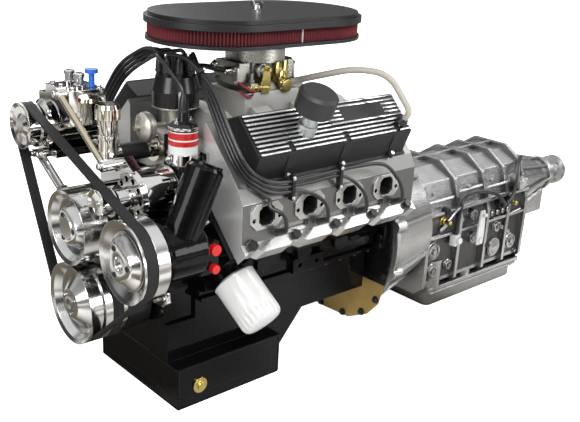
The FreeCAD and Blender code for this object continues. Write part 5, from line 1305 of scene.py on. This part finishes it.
@dataclass
class Driveline:
    """The plate's bolts, the bell's bolts and the fittings on the transmission."""

    plate_bolts: Pairs = ((-112, -206), (-40, -218), (40, -216), (104, -190), (148, -140), (166, -70))
    plate_face: float = 520.2
    bell_face: float = 553.5
    tail_face: float = 1167.0
    side: float = 134.0
    plugs: Triples = ((1000, -110, 27), (1100, 60, 20))
    low_bolts: Pairs = ((716, -150), (1120, -150))
    high_bolts: Pairs = ((716, 96), (860, 92), (960, 92))
    cooler_line: Triples = ((150, 770, 12), (152, 790, 34), (146, 840, 46), (146, 940, 42), (146, 1020, 48),
                            (152, 1050, 34), (150, 1062, 12))
    covers: Triples = ((738, -66, 26), (740, -122, 21), (1088, -112, 24), (1012, -52, 17), (806, -118, 15))
    solenoid: Pairs = ((0, 0), (7, 0), (7, 9), (8, 9), (8, 14), (5, 16), (0, 16))
    levers: tuple[tuple[float, float, float, float], ...] = (
        (784, -6, 58, 24), (836, 6, 34, -50), (1052, -74, 52, -30))
    side_pipes: tuple[Triples, ...] = (
        ((141, 700, -28), (142, 742, -20), (142, 790, -30), (141, 838, -34)),
        ((141, 962, -30), (142, 1010, -22), (142, 1060, -28), (141, 1118, -20)))
    sockets: Triples = ((772, 40, 18), (1046, 20, 22), (968, -96, 16))
    unions: tuple[float, ...] = (770, 1062)
    union_height: float = 12.0
    switch_place: Triple = (150.0, 812.0, -60.0)
    switch_plug: Triple = (158.0, 812.0, -44.0)
    loom_seat: Pair = (1010.0, 16.0)
    plug: Pairs = ((0, 0), (12, 0), (12, 14), (9, 16), (9, 26), (0, 26))
    looms: tuple[Triples, ...] = (
        ((158, 1010, 16), (168, 1000, 24), (160, 960, 62), (146, 900, 74), (146, 840, 72), (150, 822, 40),
         (152, 812, -20), (152, 812, -34)),
        ((158, 1010, 16), (166, 1030, 30), (150, 1070, 80), (118, 1110, 118), (100, 1150, 120)))

    def fit(self, fitter: Fitter) -> None:
        """Fit every piece of it.

        Args:
            fitter: finishes the pieces.
        """
        dark = Shape()
        dark.screws([(x, self.plate_face, z) for x, z in self.plate_bolts], FORWARD, 7.5, 6, 1.3)
        fitter.fit(dark, "plate_bolts", Finishes.DARK, Slot.STEEL)
        bright = Shape()
        bright.screws([(x, self.bell_face, z) for x, z in ring(10, 194, 18)], REARWARD, 8, 8)
        bright.screws([(x, self.tail_face, z) for x, z in ring(8, 122, 22.5)], REARWARD, 7, 7)
        for sign in SIDES.values():
            way = (sign, 0, 0)
            for y, z, radius in self.plugs:
                profile = [(0, 4), (radius * 0.5, 4), (radius * 0.6, 2.5), (radius * 0.84, 2.5),
                           (radius * 0.86, 0), (0, 0)]
                bright.turned(profile, aimed((sign * (self.side + 14), y, z), way), 32)
            bright.screws([(sign * (self.side + 3), y, z) for y, z in self.low_bolts], way, 6, 6)
            bright.screws([(sign * (self.side + 2), y, z) for y, z in self.high_bolts], way, 6, 6)
        bright.pipe(self.cooler_line, 3.6)
        fitter.fit(bright, "driveline_bolts", Finishes.ZINC, Slot.ZINC)
        self.fittings(fitter)
        self.side_gear(fitter)

    def side_gear(self, fitter: Fitter) -> None:
        """Fit the servo covers, the small solenoids, the levers and the sockets on the case's left side.

        Args:
            fitter: finishes the pieces.
        """
        bright = Shape()
        for y, z, radius in self.covers:
            profile = [(0, 0), (radius, 0), (radius, 5), (radius * 0.88, 7), (radius * 0.84, 11),
                       (radius * 0.6, 12), (radius * 0.56, 9), (radius * 0.3, 9), (radius * 0.26, 14),
                       (0, 14)]
            bright.turned(profile, aimed((self.side, y, z), OUTWARD), 28)
            bolts = ring(3, 0.78 * radius, 40)
            bright.screws([(self.side + 4, y + out, z + up) for out, up in bolts], OUTWARD, 4, 5)
        for step in range(4):
            bright.turned(self.solenoid, aimed((self.side + 1, 972 + 24 * step, -4), OUTWARD), 18)
        for y, z, length, angle in self.levers:
            turn = Matrix.Rotation(math.radians(angle), 4, "X")
            bright.block(5, length, 12, Matrix.Translation((self.side + 7, y, z)) @ turn, 2)
        for route in self.side_pipes:
            bright.pipe(route, 3.4)
        fitter.fit(bright, "side_gear", Finishes.ZINC, Slot.ZINC)
        dark = Shape()
        for y, z, height in self.sockets:
            profile = [(0, 0), (11, 0), (11, height - 6), (8, height - 4), (8, height), (0, height)]
            dark.turned(profile, aimed((self.side, y, z), OUTWARD), 20)
        fitter.fit(dark, "side_sockets", Finishes.DARK, Slot.STEEL)

    def fittings(self, fitter: Fitter) -> None:
        """Fit the cooler's unions, the switch, the plug and the loom.

        Args:
            fitter: finishes the pieces.
        """
        brass = Shape()
        for y in self.unions:
            brass.screw(10, 8, aimed((self.side + 2, y, self.union_height), OUTWARD), 1.2)
            brass.disc(6, 20, aimed((self.side + 10, y, self.union_height), OUTWARD), 18, broken=2)
        fitter.fit(brass, "cooler_unions", Finishes.BRASS, Slot.BRASS)
        switch = Shape()
        switch.block(20, 26, 30, aimed(self.switch_place, UP, 12), 2.5)
        switch.disc(9, 12, aimed(self.switch_plug, OUTWARD), 20, broken=2)
        fitter.fit(switch, "switch_body", Finishes.WHITE, Slot.WHITE)
        loom = Shape()
        loom.turned(self.plug, aimed((self.side, *self.loom_seat), OUTWARD), 24)
        for route in self.looms:
            loom.pipe(route, 5)
        fitter.fit(loom, "harness", Finishes.LEAD, Slot.RUBBER)


@dataclass
class Sump:
    """The rolled edges and the welded seam of the sump."""

    half_width: float = 149.2
    front: float = -66.2
    rear: float = 203.2
    top: float = -137.0
    seam: float = -206.0
    floor: float = -227.0
    edge_radius: float = 2.6
    seam_radius: float = 1.7

    def fit(self, fitter: Fitter) -> None:
        """Fit the edges.

        Args:
            fitter: finishes the pieces.
        """
        shape = Shape()
        corners = [(self.half_width, self.front), (self.half_width, self.rear), (-self.half_width, self.rear),
                   (-self.half_width, self.front)]
        rounds = ((self.top, self.edge_radius), (self.seam, self.seam_radius), (self.floor, self.edge_radius))
        for start, end in zip(corners, corners[1:] + corners[:1]):
            shape.pipe([(*start, height) for height in (self.floor, self.seam, self.top)], self.edge_radius)
            middle = ((start[0] + end[0]) / 2, (start[1] + end[1]) / 2)
            for height, radius in rounds:
                shape.pipe([(*spot, height) for spot in (start, middle, end)], radius)
        fitter.fit(shape, "sump_edges", Finishes.ENAMEL, Slot.ENAMEL)


@dataclass(frozen=True)
class Lamp:
    """A soft square lamp that faces the engine."""

    name: str
    place: Triple
    power: float
    size: float


@dataclass
class Studio:
    """The pale floor, soft lamps and camera, in metres."""

    camera_place: Triple = (1.42618, -0.95695, 0.77105)
    right: Triple = (0.66208, 0.74764, 0.05175)
    up: Triple = (-0.28392, 0.18633, 0.94057)
    lens: float = 53.70
    sensor: float = 36.0
    clipping: Pair = (0.05, 100.0)
    floor_size: float = 14.0
    floor_shade: Triple = (0.9, 0.9, 0.9)
    dark_spots: Triple = (0.14, 0.12, 0.09)
    pale_spots: Triple = (0.85, 0.84, 0.82)
    spot_scale: float = 1.7
    spot_range: Pair = (0.42, 0.58)
    aim: Triple = (0.0, 0.0, 0.4)
    lamps: tuple[Lamp, ...] = (
        Lamp("key", (2.2, -1.6, 2.6), 62.0, 1.3), Lamp("fill", (0.6, -3.0, 1.2), 24.0, 1.2),
        Lamp("side", (3.2, 1.2, 1.0), 30.0, 1.2), Lamp("rear", (1.6, 2.6, 2.4), 38.0, 1.4),
        Lamp("far", (-2.6, 0.2, 2.2), 30.0, 1.4))
    sky_strength: float = 0.85
    sky: tuple[tuple[float, Triple], ...] = (
        (0.0, (0.3, 0.26, 0.2)), (0.49, (0.2, 0.17, 0.13)), (0.52, (0.03, 0.03, 0.03)),
        (0.60, (0.08, 0.08, 0.09)), (0.66, (0.75, 0.74, 0.72)), (0.74, (0.3, 0.3, 0.31)),
        (0.84, (1.0, 1.0, 1.0)), (1.0, (0.9, 0.92, 0.95)))

    def build(self) -> None:
        """Set up the whole studio."""
        bpy.context.scene.view_settings.view_transform = "Standard"
        self.set_camera()
        self.lay_floor()
        self.light()
        self.set_world()

    def set_camera(self) -> None:
        """Place the camera."""
        data = bpy.data.cameras.new("camera")
        data.lens = self.lens
        data.sensor_width = self.sensor
        data.clip_start, data.clip_end = self.clipping
        camera = bpy.data.objects.new("camera", data)
        right = Vector(self.right)
        up = Vector(self.up)
        turn = Matrix((right, up, right.cross(up))).transposed().to_4x4()
        camera.matrix_world = Matrix.Translation(Vector(self.camera_place) + ORIGIN) @ turn
        bpy.context.scene.collection.objects.link(camera)
        bpy.context.scene.camera = camera

    def lay_floor(self) -> None:
        """Lay the pale floor, which metal sees with dark and pale spots."""
        bm = bmesh.new()
        bmesh.ops.create_grid(bm, x_segments=2, y_segments=2, size=self.floor_size)
        mesh = bpy.data.meshes.new("floor")
        bm.to_mesh(mesh)
        bm.free()
        floor = bpy.data.objects.new("floor", mesh)
        bpy.context.scene.collection.objects.link(floor)
        material = bpy.data.materials.new("floor")
        material.use_nodes = True
        nodes = Nodes(material.node_tree)
        shader = material.node_tree.nodes["Principled BSDF"]
        path = nodes.add("LightPath")
        cloud = nodes.add("TexNoise")
        cloud.inputs["Scale"].default_value = self.spot_scale
        cloud.inputs["Detail"].default_value = 1.0
        nodes.link(nodes.add("TexCoord").outputs["Object"], cloud.inputs["Vector"])
        spots = nodes.add("MapRange")
        for name, value in zip(("From Min", "From Max"), self.spot_range):
            spots.inputs[name].default_value = value
        nodes.link(cloud.outputs["Fac"], spots.inputs["Value"])
        seen = nodes.mix_colours(spots.outputs["Result"], self.dark_spots, self.pale_spots)
        shade = nodes.mix_colours(path.outputs["Is Glossy Ray"], self.floor_shade, seen)
        nodes.link(shade, shader.inputs["Base Color"])
        shader.inputs["Roughness"].default_value = 0.9
        shader.inputs["Specular IOR Level"].default_value = 0.1
        shader.inputs["Emission Color"].default_value = (1, 1, 1, 1)
        nodes.link(path.outputs["Is Camera Ray"], shader.inputs["Emission Strength"])
        mesh.materials.append(material)

    def light(self) -> None:
        """Hang the soft lamps."""
        for lamp in self.lamps:
            data = bpy.data.lights.new(lamp.name, "AREA")
            data.energy = lamp.power
            data.size = lamp.size
            light = bpy.data.objects.new(lamp.name, data)
            light.location = lamp.place
            way = Vector(self.aim) - Vector(lamp.place)
            light.rotation_euler = way.to_track_quat("-Z", "Y").to_euler()
            bpy.context.scene.collection.objects.link(light)

    def set_world(self) -> None:
        """Set the sky: white to the eye, with dark and warm bands for metal to show."""
        world = bpy.data.worlds.new("studio")
        bpy.context.scene.world = world
        world.use_nodes = True
        world.node_tree.nodes.clear()
        nodes = Nodes(world.node_tree)
        split = nodes.add("SeparateXYZ")
        nodes.link(nodes.add("TexCoord").outputs["Generated"], split.inputs["Vector"])
        spread = nodes.add("MapRange")
        spread.inputs["From Min"].default_value = -1.0
        nodes.link(split.outputs["Z"], spread.inputs["Value"])
        ramp = nodes.add("ValToRGB")
        stops = ramp.color_ramp.elements
        for index, (where, shade) in enumerate(self.sky):
            stop = stops[index] if index < 2 else stops.new(where)
            stop.position = where
            stop.color = (*shade, 1)
        nodes.link(spread.outputs["Result"], ramp.inputs["Fac"])
        sky = nodes.add("Background")
        sky.inputs["Strength"].default_value = self.sky_strength
        nodes.link(ramp.outputs["Color"], sky.inputs["Color"])
        white = nodes.add("Background")
        white.inputs["Color"].default_value = (1, 1, 1, 1)
        mix = nodes.add("MixShader")
        nodes.link(nodes.add("LightPath").outputs["Is Camera Ray"], mix.inputs["Fac"])
        nodes.link(sky.outputs["Background"], mix.inputs[1])
        nodes.link(white.outputs["Background"], mix.inputs[2])
        nodes.link(mix.outputs["Shader"], nodes.add("OutputWorld").inputs["Surface"])


COATING = {
    Finishes.ENAMEL: "cylinder_block oil_pan timing_cover water_pump power_steering_pump",
    Finishes.IRON: "main_caps crankshaft camshaft oil_pump",
    Finishes.STEEL: "connecting_rods distributor_shaft timing_chain crank_sprocket cam_sprocket valve_train "
                    "head_gaskets flexplate torque_converter output_yoke",
    Finishes.CAST: "intake_manifold pistons",
    Finishes.HEAD: "cylinder_head_left cylinder_head_right",
    Finishes.CASE: "transmission_case tail_housing bell_housing transmission_pan",
    Finishes.COVER_LEFT: "valve_cover_left",
    Finishes.COVER_RIGHT: "valve_cover_right",
    Finishes.BRACKET: "accessory_brackets",
    Finishes.CHROME: "alternator compressor wing_nut alternator_pulley compressor_pulley",
    Finishes.TURNED: "crank_pulley water_pump_pulley power_steering_pulley",
    Finishes.NECK: "water_neck",
    Finishes.DAMPER: "harmonic_damper",
    Finishes.BLUE: "port_caps",
    Finishes.BELT: "drive_belts",
    Finishes.LEAD: "ignition_leads",
    Finishes.HOSE: "pcv_hose",
    Finishes.PLASTIC: "distributor_cap wire_separators",
    Finishes.COIL: "ignition_coil",
    Finishes.WHITE: "oil_filter shift_lever",
    Finishes.BRASS: "drain_plug throttle_lever",
    Finishes.GREY: "breather_cap",
    Finishes.LID: "air_cleaner_base air_cleaner_lid",
    Finishes.RED: "air_filter",
    Finishes.SILVER: "carburettor distributor_housing",
    Finishes.YELLOW: "block_plate",
    Finishes.ZINC: "spark_plugs",
    Finishes.BOLTS: "bolts",
}


def coat() -> dict[Finishes, bpy.types.Material]:
    """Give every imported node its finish.

    Returns:
        The material of each finish.
    """
    paints = {finish: finish.value.build() for finish in Finishes}
    for finish, names in COATING.items():
        for name in names.split():
            mesh = frame["nodes"][name].data
            mesh.materials.clear()
            mesh.materials.append(paints[finish])
    return paints


def main() -> None:
    """Build the scene."""
    logging.basicConfig(level=logging.INFO)
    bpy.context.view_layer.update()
    Studio().build()
    fitter = Fitter(coat())
    for section in (AirCleaner, CoverTrim, Carburettor, Ignition, FrontDrive, Filter, Driveline, Sump):
        section().fit(fitter)


if __name__ == "__main__":
    main()
